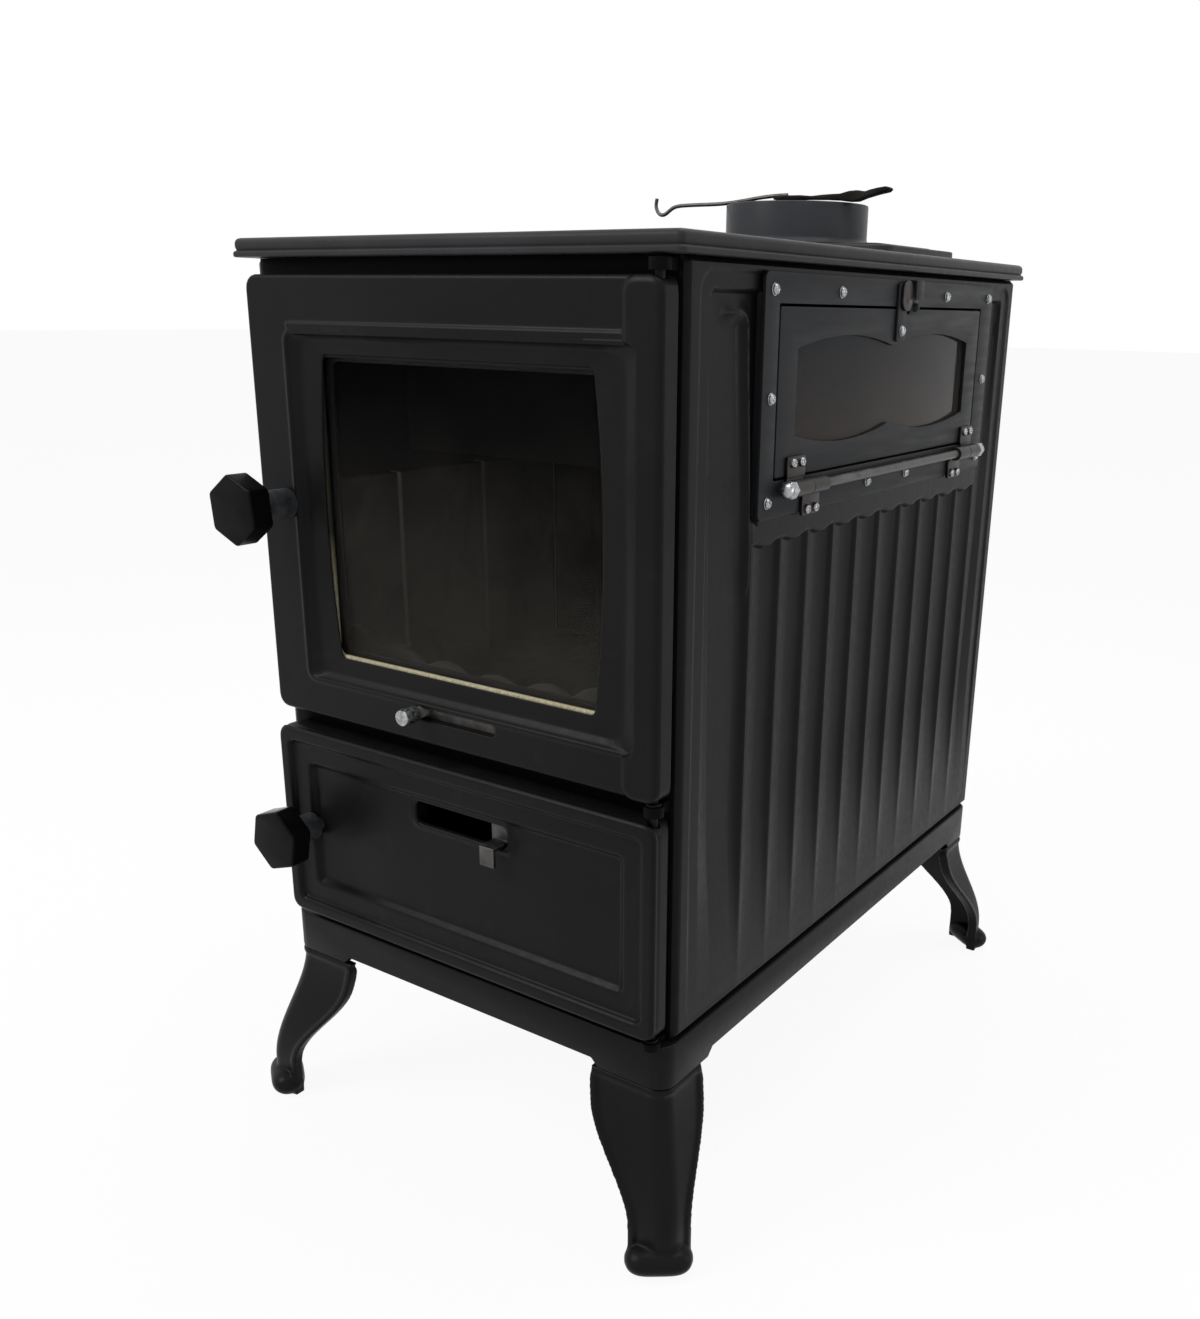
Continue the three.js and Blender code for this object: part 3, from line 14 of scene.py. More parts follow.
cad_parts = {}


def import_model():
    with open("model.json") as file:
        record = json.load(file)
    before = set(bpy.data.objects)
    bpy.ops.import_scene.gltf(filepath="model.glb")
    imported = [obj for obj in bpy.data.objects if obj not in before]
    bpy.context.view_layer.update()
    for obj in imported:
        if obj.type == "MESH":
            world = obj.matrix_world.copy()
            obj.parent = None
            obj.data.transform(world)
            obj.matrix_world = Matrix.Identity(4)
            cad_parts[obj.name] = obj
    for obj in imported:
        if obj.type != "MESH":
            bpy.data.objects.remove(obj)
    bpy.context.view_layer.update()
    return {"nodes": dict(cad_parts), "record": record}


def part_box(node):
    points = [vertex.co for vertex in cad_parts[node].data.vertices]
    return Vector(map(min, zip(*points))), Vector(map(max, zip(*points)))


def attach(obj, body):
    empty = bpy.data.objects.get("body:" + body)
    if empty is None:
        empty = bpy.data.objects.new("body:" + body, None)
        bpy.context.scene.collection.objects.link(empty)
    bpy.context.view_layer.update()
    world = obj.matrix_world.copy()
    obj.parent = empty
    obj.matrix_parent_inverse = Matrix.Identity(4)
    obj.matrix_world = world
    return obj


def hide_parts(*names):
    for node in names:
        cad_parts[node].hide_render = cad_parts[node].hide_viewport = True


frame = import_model()

MM = 0.001
PANEL_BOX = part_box("side_panel_right")
BODY_Y = (PANEL_BOX[0].y + PANEL_BOX[1].y) / 2

# the body's main sizes, and the clearance between pieces that sit on each other
HALF_WIDTH = 214
HALF_DEPTH = 312
LEG_HEIGHT = 151
PANEL_LOW = 190
PANEL_HIGH = 778
PLATE_TOP = 793
FIELD_DEPTH = 6
WALL = 8
GAP = 0.3
WELD = 1e-6
DOOR_FRONT = -338.5
RAIL_FRONT = -333.5
HINGE_X = 202
HINGE_Y = -328.5
LATCH_X = -171
FIRE_LATCH_Z = 583
ASH_LATCH_Z = 289
FIRE_KNOB_STANDOFF = 33
ASH_KNOB_STANDOFF = 21
AIR_SLOT_Z = 425

body_of_node = {
    node: body for body, nodes in frame["record"]["behaviour"]["bodies"].items() for node in nodes
}


# ---------- mesh helpers ----------


def metres(x, y, z):
    return Vector((x * MM, y * MM + BODY_Y, z * MM))


def smoothstep(t):
    t = min(1.0, max(0.0, t))
    return t * t * (3 - 2 * t)


def configured(thing, **settings):
    for name, value in settings.items():
        setattr(thing, name, value)
    return thing


def scene_object(name, data):
    obj = bpy.data.objects.new(name, data)
    bpy.context.scene.collection.objects.link(obj)
    return obj


def mesh_object(name, points, faces):
    mesh = bpy.data.meshes.new(name)
    mesh.from_pydata(points, [], faces)
    mesh.update()
    return scene_object(name, mesh)


def evaluated_mesh(obj):
    depsgraph = bpy.context.evaluated_depsgraph_get()
    return bpy.data.meshes.new_from_object(obj.evaluated_get(depsgraph))


def apply_modifiers(obj):
    mesh = evaluated_mesh(obj)
    obj.modifiers.clear()
    obj.data = mesh
    return obj


def curve_to_mesh(name, curve):
    obj = scene_object(name, curve)
    bpy.context.view_layer.update()
    mesh = evaluated_mesh(obj)
    bpy.data.objects.remove(obj)
    mesh.name = name
    return scene_object(name, mesh)


def joined(name, pieces):
    """One object from several meshes in place."""
    merged = bmesh.new()
    for piece in pieces:
        merged.from_mesh(piece.data)
        bpy.data.objects.remove(piece)
    mesh = bpy.data.meshes.new(name)
    merged.to_mesh(mesh)
    merged.free()
    return scene_object(name, mesh)


def edited(obj, edit):
    work = bmesh.new()
    work.from_mesh(obj.data)
    edit(work)
    work.to_mesh(obj.data)
    work.free()
    return obj


def fix_normals(obj):
    return edited(obj, lambda work: bmesh.ops.recalc_face_normals(work, faces=work.faces))


def weld(obj):
    return edited(obj, lambda work: bmesh.ops.remove_doubles(work, verts=work.verts, dist=WELD))


def cad_copy(node, name):
    """The CAD node's mesh, welded, with its flat faces made whole."""
    work = bmesh.new()
    work.from_mesh(frame["nodes"][node].data)
    bmesh.ops.remove_doubles(work, verts=work.verts, dist=2 * WELD)
    flat = radians(0.5)
    bmesh.ops.dissolve_limit(work, angle_limit=flat, verts=work.verts, edges=work.edges)
    mesh = bpy.data.meshes.new(name)
    work.to_mesh(mesh)
    work.free()
    return scene_object(name, mesh)


def round_edges(obj, width, segments=2, angle=32):
    bevel = obj.modifiers.new("round", "BEVEL")
    configured(bevel, width=width * MM, segments=segments, use_clamp_overlap=True)
    configured(bevel, limit_method="ANGLE", angle_limit=radians(angle))
    return apply_modifiers(obj)


def soften(obj, voxel, rounds, keep):
    """The soft, filleted look of a casting: fine remesh, smoothing, then fewer faces."""
    configured(obj.modifiers.new("remesh", "REMESH"), mode="VOXEL", voxel_size=voxel * MM)
    configured(obj.modifiers.new("relax", "SMOOTH"), factor=0.5, iterations=rounds)
    configured(obj.modifiers.new("thin", "DECIMATE"), ratio=keep)
    return apply_modifiers(obj)


def cut_away(obj, tools):
    for tool in tools:
        boolean = obj.modifiers.new("cut", "BOOLEAN")
        configured(boolean, operation="DIFFERENCE", solver="EXACT", object=tool)
    apply_modifiers(obj)
    for tool in tools:
        bpy.data.objects.remove(tool)
    return obj


def box_piece(name, x0, x1, y0, y1, z0, z1):
    corners = [(x, y, z) for x in (x0, x1) for y in (y0, y1) for z in (z0, z1)]
    faces = [(0, 1, 3, 2), (4, 6, 7, 5), (0, 4, 5, 1), (2, 3, 7, 6), (0, 2, 6, 4), (1, 5, 7, 3)]
    return mesh_object(name, [metres(*corner) for corner in corners], faces)


def ring_faces(rings, count):
    """Quads between neighbouring rings of count points each."""
    faces = []
    for ring in range(rings - 1):
        for i in range(count):
            a = ring * count + i
            b = ring * count + (i + 1) % count
            faces.append((a, b, b + count, a + count))
    return faces


def lathe(name, profile, centre, axis, segments):
    """A profile of (radius, height) pairs turned about an axis through centre."""
    turn = {
        "X": lambda r, h, c, s: (h, r * c, r * s),
        "Y": lambda r, h, c, s: (r * s, h, r * c),
        "Z": lambda r, h, c, s: (r * c, r * s, h),
    }[axis]
    points = []
    for radius, height in profile:
        for i in range(segments):
            angle = 2 * pi * i / segments
            x, y, z = turn(max(radius, 1e-4), height, cos(angle), sin(angle))
            points.append(metres(x + centre[0], y + centre[1], z + centre[2]))
    return fix_normals(weld(mesh_object(name, points, ring_faces(len(profile), segments))))


def arc(cx, cy, radius, start, end, count):
    """Points on an arc, angles in degrees."""
    step = (end - start) / count
    angles = [radians(start + step * i) for i in range(count + 1)]
    return [(cx + radius * cos(a), cy + radius * sin(a)) for a in angles]


def rounded_rect(u0, u1, v0, v1, radius, count=10):
    return (
        arc(u1 - radius, v0 + radius, radius, -90, 0, count)
        + arc(u1 - radius, v1 - radius, radius, 0, 90, count)
        + arc(u0 + radius, v1 - radius, radius, 90, 180, count)
        + arc(u0 + radius, v0 + radius, radius, 180, 270, count)
    )


def quadratic(start, control, end, count):
    """Points after start on a quadratic curve."""
    points = []
    for i in range(1, count + 1):
        t = i / count
        points.append(tuple(
            (1 - t) ** 2 * a + 2 * t * (1 - t) * c + t * t * b
            for a, c, b in zip(start, control, end)
        ))
    return points


def rounded_polygon(corners, radius, count):
    """A convex outline with each corner rounded."""
    points = []
    for i, corner in enumerate(corners):
        here = Vector(corner)
        before = (Vector(corners[i - 1]) - here).normalized()
        after = (Vector(corners[(i + 1) % len(corners)]) - here).normalized()
        start, end = here + before * radius, here + after * radius
        points += [tuple(start), *quadratic(start, here, end, count)]
    return points


PLANES = {
    "X": ((0, 1, 0), (0, 0, 1), (1, 0, 0)),
    "Y": ((1, 0, 0), (0, 0, 1), (0, -1, 0)),
    "Z": ((1, 0, 0), (0, 1, 0), (0, 0, 1)),
}


def plate(name, outlines, axis, low, high, edge, steps=3):
    """A flat plate across an axis, with rounded edges; all outlines but the first are holes."""
    curve = bpy.data.curves.new(name, "CURVE")
    configured(curve, dimensions="2D", fill_mode="BOTH", bevel_depth=edge * MM, offset=-edge * MM)
    configured(curve, extrude=((high - low) / 2 - edge) * MM, bevel_resolution=steps)
    for outline in outlines:
        spline = curve.splines.new("POLY")
        spline.points.add(len(outline) - 1)
        for point, (u, v) in zip(spline.points, outline):
            point.co = (u * MM, v * MM, 0, 1)
        spline.use_cyclic_u = True
    made = curve_to_mesh(name, curve)
    u, v, w = PLANES[axis]
    turn = Matrix((u, v, w)).transposed().to_4x4()
    middle = (low + high) / 2
    place = {"X": (middle, 0, 0), "Y": (0, middle, 0), "Z": (0, 0, middle)}[axis]
    made.data.transform(Matrix.Translation(metres(*place)) @ turn)
    return fix_normals(weld(made))


def loft(name, rings, closed_ends=True):
    """Skin through rings of equal point count, given in millimetres."""
    count = len(rings[0])
    points = [metres(*point) for ring in rings for point in ring]
    faces = ring_faces(len(rings), count)
    if closed_ends:
        faces.append(tuple(range(count)))
        faces.append(tuple(range((len(rings) - 1) * count, len(rings) * count)))
    return fix_normals(mesh_object(name, points, faces))


def tube(name, path, radius, segments, closed=False):
    """A round bar along a path of points in millimetres."""
    curve = bpy.data.curves.new(name, "CURVE")
    configured(curve, dimensions="3D", fill_mode="FULL", use_fill_caps=not closed)
    configured(curve, bevel_depth=radius * MM, bevel_resolution=segments // 4)
    spline = curve.splines.new("NURBS")
    spline.points.add(len(path) - 1)
    for point, place in zip(spline.points, path):
        point.co = (*metres(*place), 1)
    configured(spline, use_cyclic_u=closed, use_endpoint_u=not closed, order_u=4, resolution_u=6)
    return curve_to_mesh(name, curve)


# ---------- materials ----------


def filled(tree, node, inputs):
    """The node, with an input linked where a socket is given for it, and set otherwise."""
    for socket, value in inputs.items():
        if isinstance(value, bpy.types.NodeSocket):
            tree.links.new(value, node.inputs[socket])
        else:
            node.inputs[socket].default_value = value
    return node


def add_node(tree, kind, inputs, **settings):
    return filled(tree, configured(tree.nodes.new(kind), **settings), inputs)


class Finish:
    """A node material with the record's slot that it dresses."""

    def __init__(self, name, slot, base, roughness, metallic=0.0, gloss=0.5):
        self.slot = slot
        self.material = bpy.data.materials.new(name)
        self.material.use_nodes = True
        self.tree = self.material.node_tree
        self.shader = self.tree.nodes["Principled BSDF"]
        plain = {"Metallic": metallic, "Specular IOR Level": gloss, "Roughness": roughness}
        filled(self.tree, self.shader, {**plain, "Base Color": (*base, 1)})
        self.coordinates = self.add("ShaderNodeTexCoord", {}).outputs["Object"]

    def add(self, kind, inputs, **settings):
        return add_node(self.tree, kind, inputs, **settings)

    def noise(self, scale, detail=3.0, distortion=0.0, stretch=(1, 1, 1)):
        """Noise of about 1/scale metres grain, in the object's own space."""
        place = self.add("ShaderNodeMapping", {"Vector": self.coordinates, "Scale": stretch})
        inputs = {"Vector": place.outputs[0], "Scale": scale, "Detail": detail}
        inputs["Distortion"] = distortion
        return self.add("ShaderNodeTexNoise", inputs).outputs["Fac"]

    def place(self, axis):
        """One coordinate in the object's own space."""
        return self.add("ShaderNodeSeparateXYZ", {"Vector": self.coordinates}).outputs[axis]

    def calculate(self, operation, *values):
        inputs = dict(enumerate(values))
        return self.add("ShaderNodeMath", inputs, operation=operation).outputs[0]

    def ramp(self, source, stops):
        node = self.add("ShaderNodeValToRGB", {"Fac": source})
        for element, (position, color) in zip(node.color_ramp.elements, stops):
            element.position = position
            element.color = (*color, 1)
        return node.outputs["Color"]

    def span(self, source, low, high, start=0.3, end=0.7):
        inputs = {"Value": source, "From Min": start, "From Max": end}
        inputs.update({"To Min": low, "To Max": high})
        return self.add("ShaderNodeMapRange", inputs).outputs["Result"]

    def mix(self, factor, source, color):
        inputs = {"Factor": factor, 6: source, 7: (*color, 1)}
        return self.add("ShaderNodeMix", inputs, data_type="RGBA").outputs[2]

    def set(self, socket, value):
        filled(self.tree, self.shader, {socket: value})

    def bump(self, *layers):
        """Layers of (height source, strength, depth in millimetres), coarse first."""
        below = {}
        for source, strength, depth in layers:
            inputs = {"Height": source, "Strength": strength, "Distance": depth * MM, **below}
            below = {"Normal": self.add("ShaderNodeBump", inputs).outputs["Normal"]}
        self.set("Normal", below["Normal"])


def shade(value):
    """The linear value of an 8-bit screen value."""
    share = value / 255
    return share / 12.92 if share <= 0.04045 else ((share + 0.055) / 1.055) ** 2.4


def tint(red, green, blue):
    return (shade(red), shade(green), shade(blue))


def painted_iron(name, low, high, worn, gloss):
    """Sprayed castings: a mottled coat, dusty in places, over a fine grain with pits."""
    finish = Finish(name, "painted_iron", tint(*high), 0.5, gloss=gloss)
    cloud = finish.noise(9, 4)
    grain = finish.noise(520, 3)
    pits = finish.noise(150, 5, 0.4)
    base = finish.ramp(cloud, [(0.3, tint(*low)), (0.7, tint(*high))])
    dust = finish.ramp(finish.noise(34, 6, 0.6), [(0.58, (0, 0, 0)), (0.8, (0.3, 0.3, 0.3))])
    finish.set("Base Color", finish.mix(dust, base, tint(*worn)))
    finish.set("Roughness", finish.span(pits, 0.3, 0.4))
    finish.bump((pits, 0.1, 0.5), (grain, 0.12, 0.18))
    return finish


def mottled(name, slot, base, surface, grain, stops, rough, *bumps, rough_grain=None):
    """A finish that follows noise; surface is its roughness, metal and gloss."""
    finish = Finish(name, slot, base, *surface)
    pattern = finish.noise(*grain)
    finish.set("Base Color", finish.ramp(pattern, stops))
    if rough_grain:
        pattern = finish.noise(*rough_grain)
    finish.set("Roughness", finish.span(pattern, *rough))
    if bumps:
        finish.bump(*[(finish.noise(*relief), *rest) for relief, *rest in bumps])
    return finish


def steel(name, low, high, slot="steel"):
    surface, grain, brushed = (0.4, 1.0, 0.5), (60, 5, 0.5), (900, 3, 0.0, (1, 0.06, 1))
    stops = [(0.3, low), (0.7, high)]
    return mottled(name, slot, high, surface, grain, stops, (0.32, 0.52), (brushed, 0.12, 0.1))


def ashen_iron():
    """Burnt castings inside the firebox, pale with ash in patches, with paler stripes along their
    upright ribs.
    """
    first_rib, half_pitch = -7.5 * MM, 58.5 * MM
    finish = Finish("ashen_iron", "plain_iron", tint(60, 58, 55), 0.85, gloss=0.03)
    ash = finish.noise(14, 6, 0.9)
    base = finish.ramp(ash, [(0.3, tint(62, 60, 57)), (0.7, tint(104, 100, 94))])
    shifted = finish.calculate("ADD", finish.place("Y"), first_rib)
    wave = finish.calculate("PINGPONG", shifted, half_pitch)
    rib = finish.span(wave, 0.0, 1.0, 55 * MM, 58 * MM)
    finish.set("Base Color", finish.mix(rib, base, tint(188, 182, 170)))
    finish.set("Roughness", finish.span(ash, 0.75, 0.95))
    finish.bump((finish.noise(90, 4), 0.12, 0.5))
    return finish


def rope():
    """Pale rope, darker towards the top of the window."""
    finish = Finish("rope", "rope", tint(190, 182, 152), 0.95, gloss=0.05)
    weave = finish.noise(900, 3, 0.0, (1, 1, 0.5))
    pale_weave = finish.ramp(weave, [(0.3, tint(150, 141, 112)), (0.7, tint(206, 198, 170))])
    height = finish.span(finish.place("Z"), 0.0, 1.0, 470 * MM, 560 * MM)
    finish.set("Base Color", finish.mix(height, pale_weave, tint(44, 42, 38)))
    finish.set("Roughness", finish.span(weave, 0.85, 1.0))
    finish.bump((weave, 0.6, 0.6))
    return finish


def glass(name, haze, clear, alpha_low, alpha_high, low, high, gloss):
    """Clear glass with a film that is denser low down and fades, in noisy patches, towards the top.
    """
    finish = Finish(name, "glass", haze, 0.06, gloss=gloss)
    finish.set("IOR", 1.5)
    height = finish.span(finish.place("Z"), 0.0, 1.0, low * MM, high * MM)
    film_noise = finish.calculate("MULTIPLY_ADD", finish.noise(9, 4, 0.8), 0.7, height)
    film = finish.span(film_noise, 0.0, 1.0, 0.35, 1.3)
    finish.set("Base Color", finish.ramp(film, [(0.0, haze), (1.0, clear)]))
    finish.set("Alpha", finish.span(film, alpha_low, alpha_high, 0.0, 1.0))
    finish.set("Roughness", finish.span(finish.noise(30, 4), 0.03, 0.09))
    return finish


IRON = painted_iron("painted_iron", (18, 18, 18), (24, 23, 23), (38, 37, 36), 0.075)
# A lighter copy of the painted iron for the top plate, its boss and the lid: painted light where
# the surfaces face up to the lamps.
PAINTED_LIGHT_PLATE = painted_iron("painted_light_plate", (47, 47, 48), (57, 57, 59), (66, 65, 63), 0.05)
COLLAR_IRON = painted_iron("collar_iron", (54, 56, 59), (66, 68, 71), (74, 75, 76), 0.06)
# A darker copy of the painted iron for the front casting: painted shade for the dark gaps around
# the doors.
PAINTED_SHADE_FRAME = painted_iron("painted_shade_frame", (12, 12, 12), (18, 17, 17), (24, 23, 22), 0.02)
PLAIN = mottled(
    "plain_iron", "plain_iron", tint(24, 23, 22), (0.8, 0.0, 0.03), (22, 6, 0.8),
    [(0.35, tint(28, 27, 26)), (0.7, tint(56, 53, 49))], (0.7, 0.9), ((90, 4), 0.12, 0.5),
)
ASHEN = ashen_iron()
SHEET = mottled(
    "painted_sheet", "painted_sheet", tint(40, 43, 47), (0.42, 0.0, 0.08), (7, 3),
    [(0.3, tint(32, 33, 35)), (0.7, tint(39, 40, 42))], (0.34, 0.48),
    ((24, 2), 0.05, 0.8), ((700, 2), 0.06, 0.1), rough_grain=(160, 4, 0.0, (1, 0.12, 1)),
)
ZINC = mottled(
    "zinc", "zinc", (0.5, 0.51, 0.52), (0.3, 1.0, 0.5), (420, 4),
    [(0.3, (0.2, 0.205, 0.21)), (0.7, (0.46, 0.47, 0.48))], (0.22, 0.42), ((900, 3), 0.15, 0.1),
)
STEEL = steel("steel", (0.045, 0.044, 0.043), (0.11, 0.107, 0.104))
KNUCKLE = steel("rolled_steel", (0.02, 0.0185, 0.0175), (0.055, 0.05, 0.047), "painted_sheet")
# A near-black copy of the steel for the door's hinge pins: painted shade, so that they sink into
# the dark gaps beside the doors.
PAINTED_SHADE_PIN = steel("painted_shade_pin", (0.006, 0.006, 0.006), (0.016, 0.015, 0.015))
SOOTY = mottled(
    "sooty_sheet", "painted_sheet", tint(22, 21, 20), (0.8, 0.0, 0.03), (26, 5, 0.6),
    [(0.35, tint(17, 17, 16)), (0.7, tint(30, 28, 26))], (0.7, 0.9),
)
BAKELITE = mottled(
    "bakelite", "bakelite", tint(14, 14, 16), (0.16, 0.0, 0.05), (45, 5),
    [(0.35, tint(10, 10, 12)), (0.75, tint(18, 18, 20))], (0.12, 0.26), ((70, 2), 0.05, 0.4),
)
KNOB_BOSS = mottled(
    "knob_boss", "steel", tint(70, 72, 74), (0.45, 0.1, 0.15), (120, 4),
    [(0.3, tint(44, 45, 47)), (0.7, tint(76, 78, 80))], (0.35, 0.55), ((500, 3), 0.15, 0.2),
    rough_grain=(80, 4),
)
SHUTTER = mottled(
    "shutter", "zinc", tint(70, 70, 68), (0.5, 0.3, 0.2), (90, 5),
    [(0.3, tint(70, 69, 66)), (0.7, tint(108, 106, 103))], (0.42, 0.6), ((260, 4), 0.25, 0.3),
    rough_grain=(60, 3),
)
ROPE = rope()
FIRE_GLASS = glass("fire_glass", tint(70, 67, 62), tint(22, 22, 23), 0.3, 0.08, 440, 690, 0.03)
OVEN_GLASS = glass("oven_glass", tint(60, 54, 49), tint(45, 47, 51), 0.75, 0.6, 640, 735, 0.07)


def coat(obj, finish, angle):
    obj.data.materials.clear()
    obj.data.materials.append(finish.material)
    obj.data.shade_smooth()
    obj.data.set_sharp_from_angle(angle=radians(angle))


def dress(obj, finish, node, angle=34):
    """Gives the piece its finish and the body that it rides on, and hides the CAD node that it
    stands for.
    """
    coat(obj, finish, angle)
    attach(obj, body_of_node[node])
    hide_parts(node)


def dress_detail(obj, finish, body):
    """A small piece that is part of a CAD node already stood for."""
    coat(obj, finish, 45)
    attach(obj, body)


def rounded(node, name, finish, *edges):
    """The CAD node's own shape with rounded edges."""
    dress(round_edges(cad_copy(node, name), *edges), finish, node)


# ---------- base and legs ----------


LEG_LEAN_X = 25
FOOT_X = 194


def leg_reach(sign_y):
    """The front legs stand under the front of the base, 15 mm ahead of the body."""
    return HALF_DEPTH + (15 if sign_y < 0 else 0)


def leg_ring(t, sign_x, sign_y):
    """One ring of the angled leg, at height share t from the top (0) to the floor (1)."""
    out = smoothstep(t / 0.8)
    narrow = 1 - 0.46 * smoothstep((t - 0.2) / 0.55)
    bead = 1.6 * exp(-((t - 0.025) / 0.018) ** 2)
    corner_x = HALF_WIDTH + LEG_LEAN_X * out + bead
    corner_y = leg_reach(sign_y) + (27 if sign_y < 0 else 31) * out + bead
    wing_x = 73 * narrow
    wing_y = 56 * narrow
    radius = 15
    rim = 2.6 * smoothstep(t / 0.1)
    z = (LEG_HEIGHT - GAP) * (1 - t) + t
    outer = arc(corner_x - radius, corner_y - radius, radius, 90, 0, 10)
    points = [
        (corner_x - wing_x, corner_y + rim),
        (corner_x - wing_x + 5.5, corner_y + rim),
        (corner_x - wing_x + 8, corner_y),
    ]
    points += outer + [
        (corner_x, corner_y - wing_y + 8),
        (corner_x + rim, corner_y - wing_y + 5.5),
        (corner_x + rim, corner_y - wing_y),
        (corner_x - WALL, corner_y - wing_y),
        (corner_x - WALL, corner_y - radius),
        (corner_x - radius, corner_y - WALL),
        (corner_x - wing_x, corner_y - WALL),
    ]
    return [(x * sign_x, y * sign_y, z) for x, y in points]


def foot(sign_x, sign_y):
    """The rolled toe at the end of the leg: a short, blunt roll across both wings."""
    along, across = (0.807, -0.59), (0.59, 0.807)
    half_length, half_width, half_height = 28, 16, 12.4
    centre_y = leg_reach(sign_y) + (12 if sign_y < 0 else 16)
    rings = []
    for step in range(25):
        u = half_length * (step / 12 - 1)
        size = max(0.05, (1 - abs(u / (half_length + GAP)) ** 4)) ** 0.5
        ring = []
        for column in range(36):
            angle = 2 * pi * column / 36
            v = 9 + half_width * size * cos(angle)
            x = FOOT_X + LEG_LEAN_X + u * along[0] + v * across[0]
            y = centre_y + u * along[1] + v * across[1]
            z = 11.6 + half_height * size * sin(angle)
            ring.append((x * sign_x, y * sign_y, z))
        rings.append(ring)
    return loft("toe", rings)


def leg(place, sign_x, sign_y):
    shell = loft("shell", [leg_ring(i / 96, sign_x, sign_y) for i in range(97)])
    pad_x = sorted(sign_x * (HALF_WIDTH - inset) for inset in (34, 3))
    pad_y = sorted(sign_y * (leg_reach(sign_y) - inset) for inset in (34, 3))
    pad = box_piece("pad", *pad_x, *pad_y, LEG_HEIGHT - 6 - GAP, LEG_HEIGHT - GAP)
    obj = joined("leg_shape_" + place, [shell, foot(sign_x, sign_y), pad])
    soften(obj, 1.05, 10, 0.5)
    for vertex in obj.data.vertices:
        vertex.co.z = max(vertex.co.z, 0.0)
    dress(obj, IRON, "leg_" + place, angle=60)


# ---------- side panels ----------


def lines(low, high, step, extra=()):
    """Grid lines from low to high, closer where extra ranges ask for it."""
    values = set()
    for start, end, fine in [(low, high, step), *extra]:
        pieces = max(1, round((end - start) / fine))
        values.update(start + (end - start) * i / pieces for i in range(pieces + 1))
    ordered = sorted(value for value in values if low <= value <= high)
    kept = [ordered[0]]
    for value in ordered[1:]:
        if value - kept[-1] > GAP:
            kept.append(value)
    kept[-1] = high
    return kept


RIB_PITCH = 46
FIRST_RIB = -218
LAST_RIB = FIRST_RIB + 10 * RIB_PITCH
CROWN = 4.6
LEDGE_TOP = 384.7
OVEN_Y = 12
OVEN_HALF = 229
OVEN_LOW = 592
OVEN_HIGH = 771
RIB_TOP = OVEN_LOW - 21
RIM = 15


def crest(distance, half_width):
    """The cross section of a ridge: a narrow crown between hollow flutes, 1 at its middle."""
    if distance >= half_width:
        return 0.0
    foot = 1 / (1 + (half_width / CROWN) ** 2)
    crown = (1 / (1 + (distance / CROWN) ** 2) - foot) / (1 - foot)
    return 0.66 * crown + 0.34 * (1 - distance / half_width) ** 1.6


def flutes(y):
    """The row of ridges across the panel."""
    if not FIRST_RIB <= y <= LAST_RIB:
        return crest(max(FIRST_RIB - y, y - LAST_RIB), 14)
    place = (y - FIRST_RIB) % RIB_PITCH
    return crest(min(place, RIB_PITCH - place), RIB_PITCH / 2)


def tall_rib(y, z):
    """The first ridge goes on upward, beside the oven's frame, and turns inward at its head."""
    lean = FIRST_RIB - 4 - 12 * smoothstep((z - RIB_TOP) / 200)
    head = PANEL_HIGH - 36
    bend = 9
    if z <= head - bend:
        return crest(abs(y - lean), 12)
    if y > lean - bend:
        return crest(abs(hypot(y - lean + bend, z - head + bend) - bend), 12)
    return crest(abs(z - head), 12) * smoothstep((y - lean + 36) / 24)


def rounded_box_distance(u, v, half_u, half_v, radius):
    du = abs(u) - half_u + radius
    dv = abs(v) - half_v + radius
    return hypot(max(du, 0), max(dv, 0)) + min(max(du, dv), 0) - radius


def panel_height(y, z, has_oven):
    """How far the panel's face stands out of its sunk field."""
    middle = (PANEL_LOW + PANEL_HIGH) / 2
    half_z = (PANEL_HIGH - PANEL_LOW) / 2 - 8
    share = min(1, max(0, (z - PANEL_LOW) / (PANEL_HIGH - PANEL_LOW)))
    deep = 0.1 + 0.9 * smoothstep((z - PANEL_LOW - 30) / 150)
    inside = -rounded_box_distance(y, z - middle, HALF_DEPTH - RIM, half_z, 16)
    step = 0.32 * smoothstep((inside + 1) / 3)
    second = -rounded_box_distance(y, z - middle, HALF_DEPTH - RIM - 15, half_z - 12, 8)
    wedge = 22 - 20 * share
    ramp = 0.68 * min(1, max(0, second / wedge))
    rib_top = RIB_TOP if has_oven else PANEL_HIGH - 40
    rib = flutes(y) if z < rib_top + 4 else 0.0
    if has_oven:
        rib = max(rib, tall_rib(y, z) if z > RIB_TOP - 30 else 0.0)
    depth = deep * (step + ramp) * (1 - 0.96 * rib)
    scallop = sin(pi * ((y - FIRST_RIB) % RIB_PITCH) / RIB_PITCH) ** 2
    low = rib_top + 3 - 4.5 * scallop
    seat_z = (PANEL_HIGH - low) / 2
    left = FIRST_RIB - 2 if z < OVEN_LOW + 4 else FIRST_RIB + 6
    right = OVEN_Y + OVEN_HALF + 3
    from_middle = y - (left + right) / 2
    seat = -rounded_box_distance(from_middle, z - low - seat_z, (right - left) / 2, seat_z, 4)
    depth *= 1 - smoothstep((seat + 1.5) / 3)
    return FIELD_DEPTH * (1 - depth)


def with_edges(values, edges):
    """Grid lines that meet a hole's edges."""
    kept = [value for value in values if min(abs(value - edge) for edge in edges) > 0.6]
    return sorted([*kept, *edges])


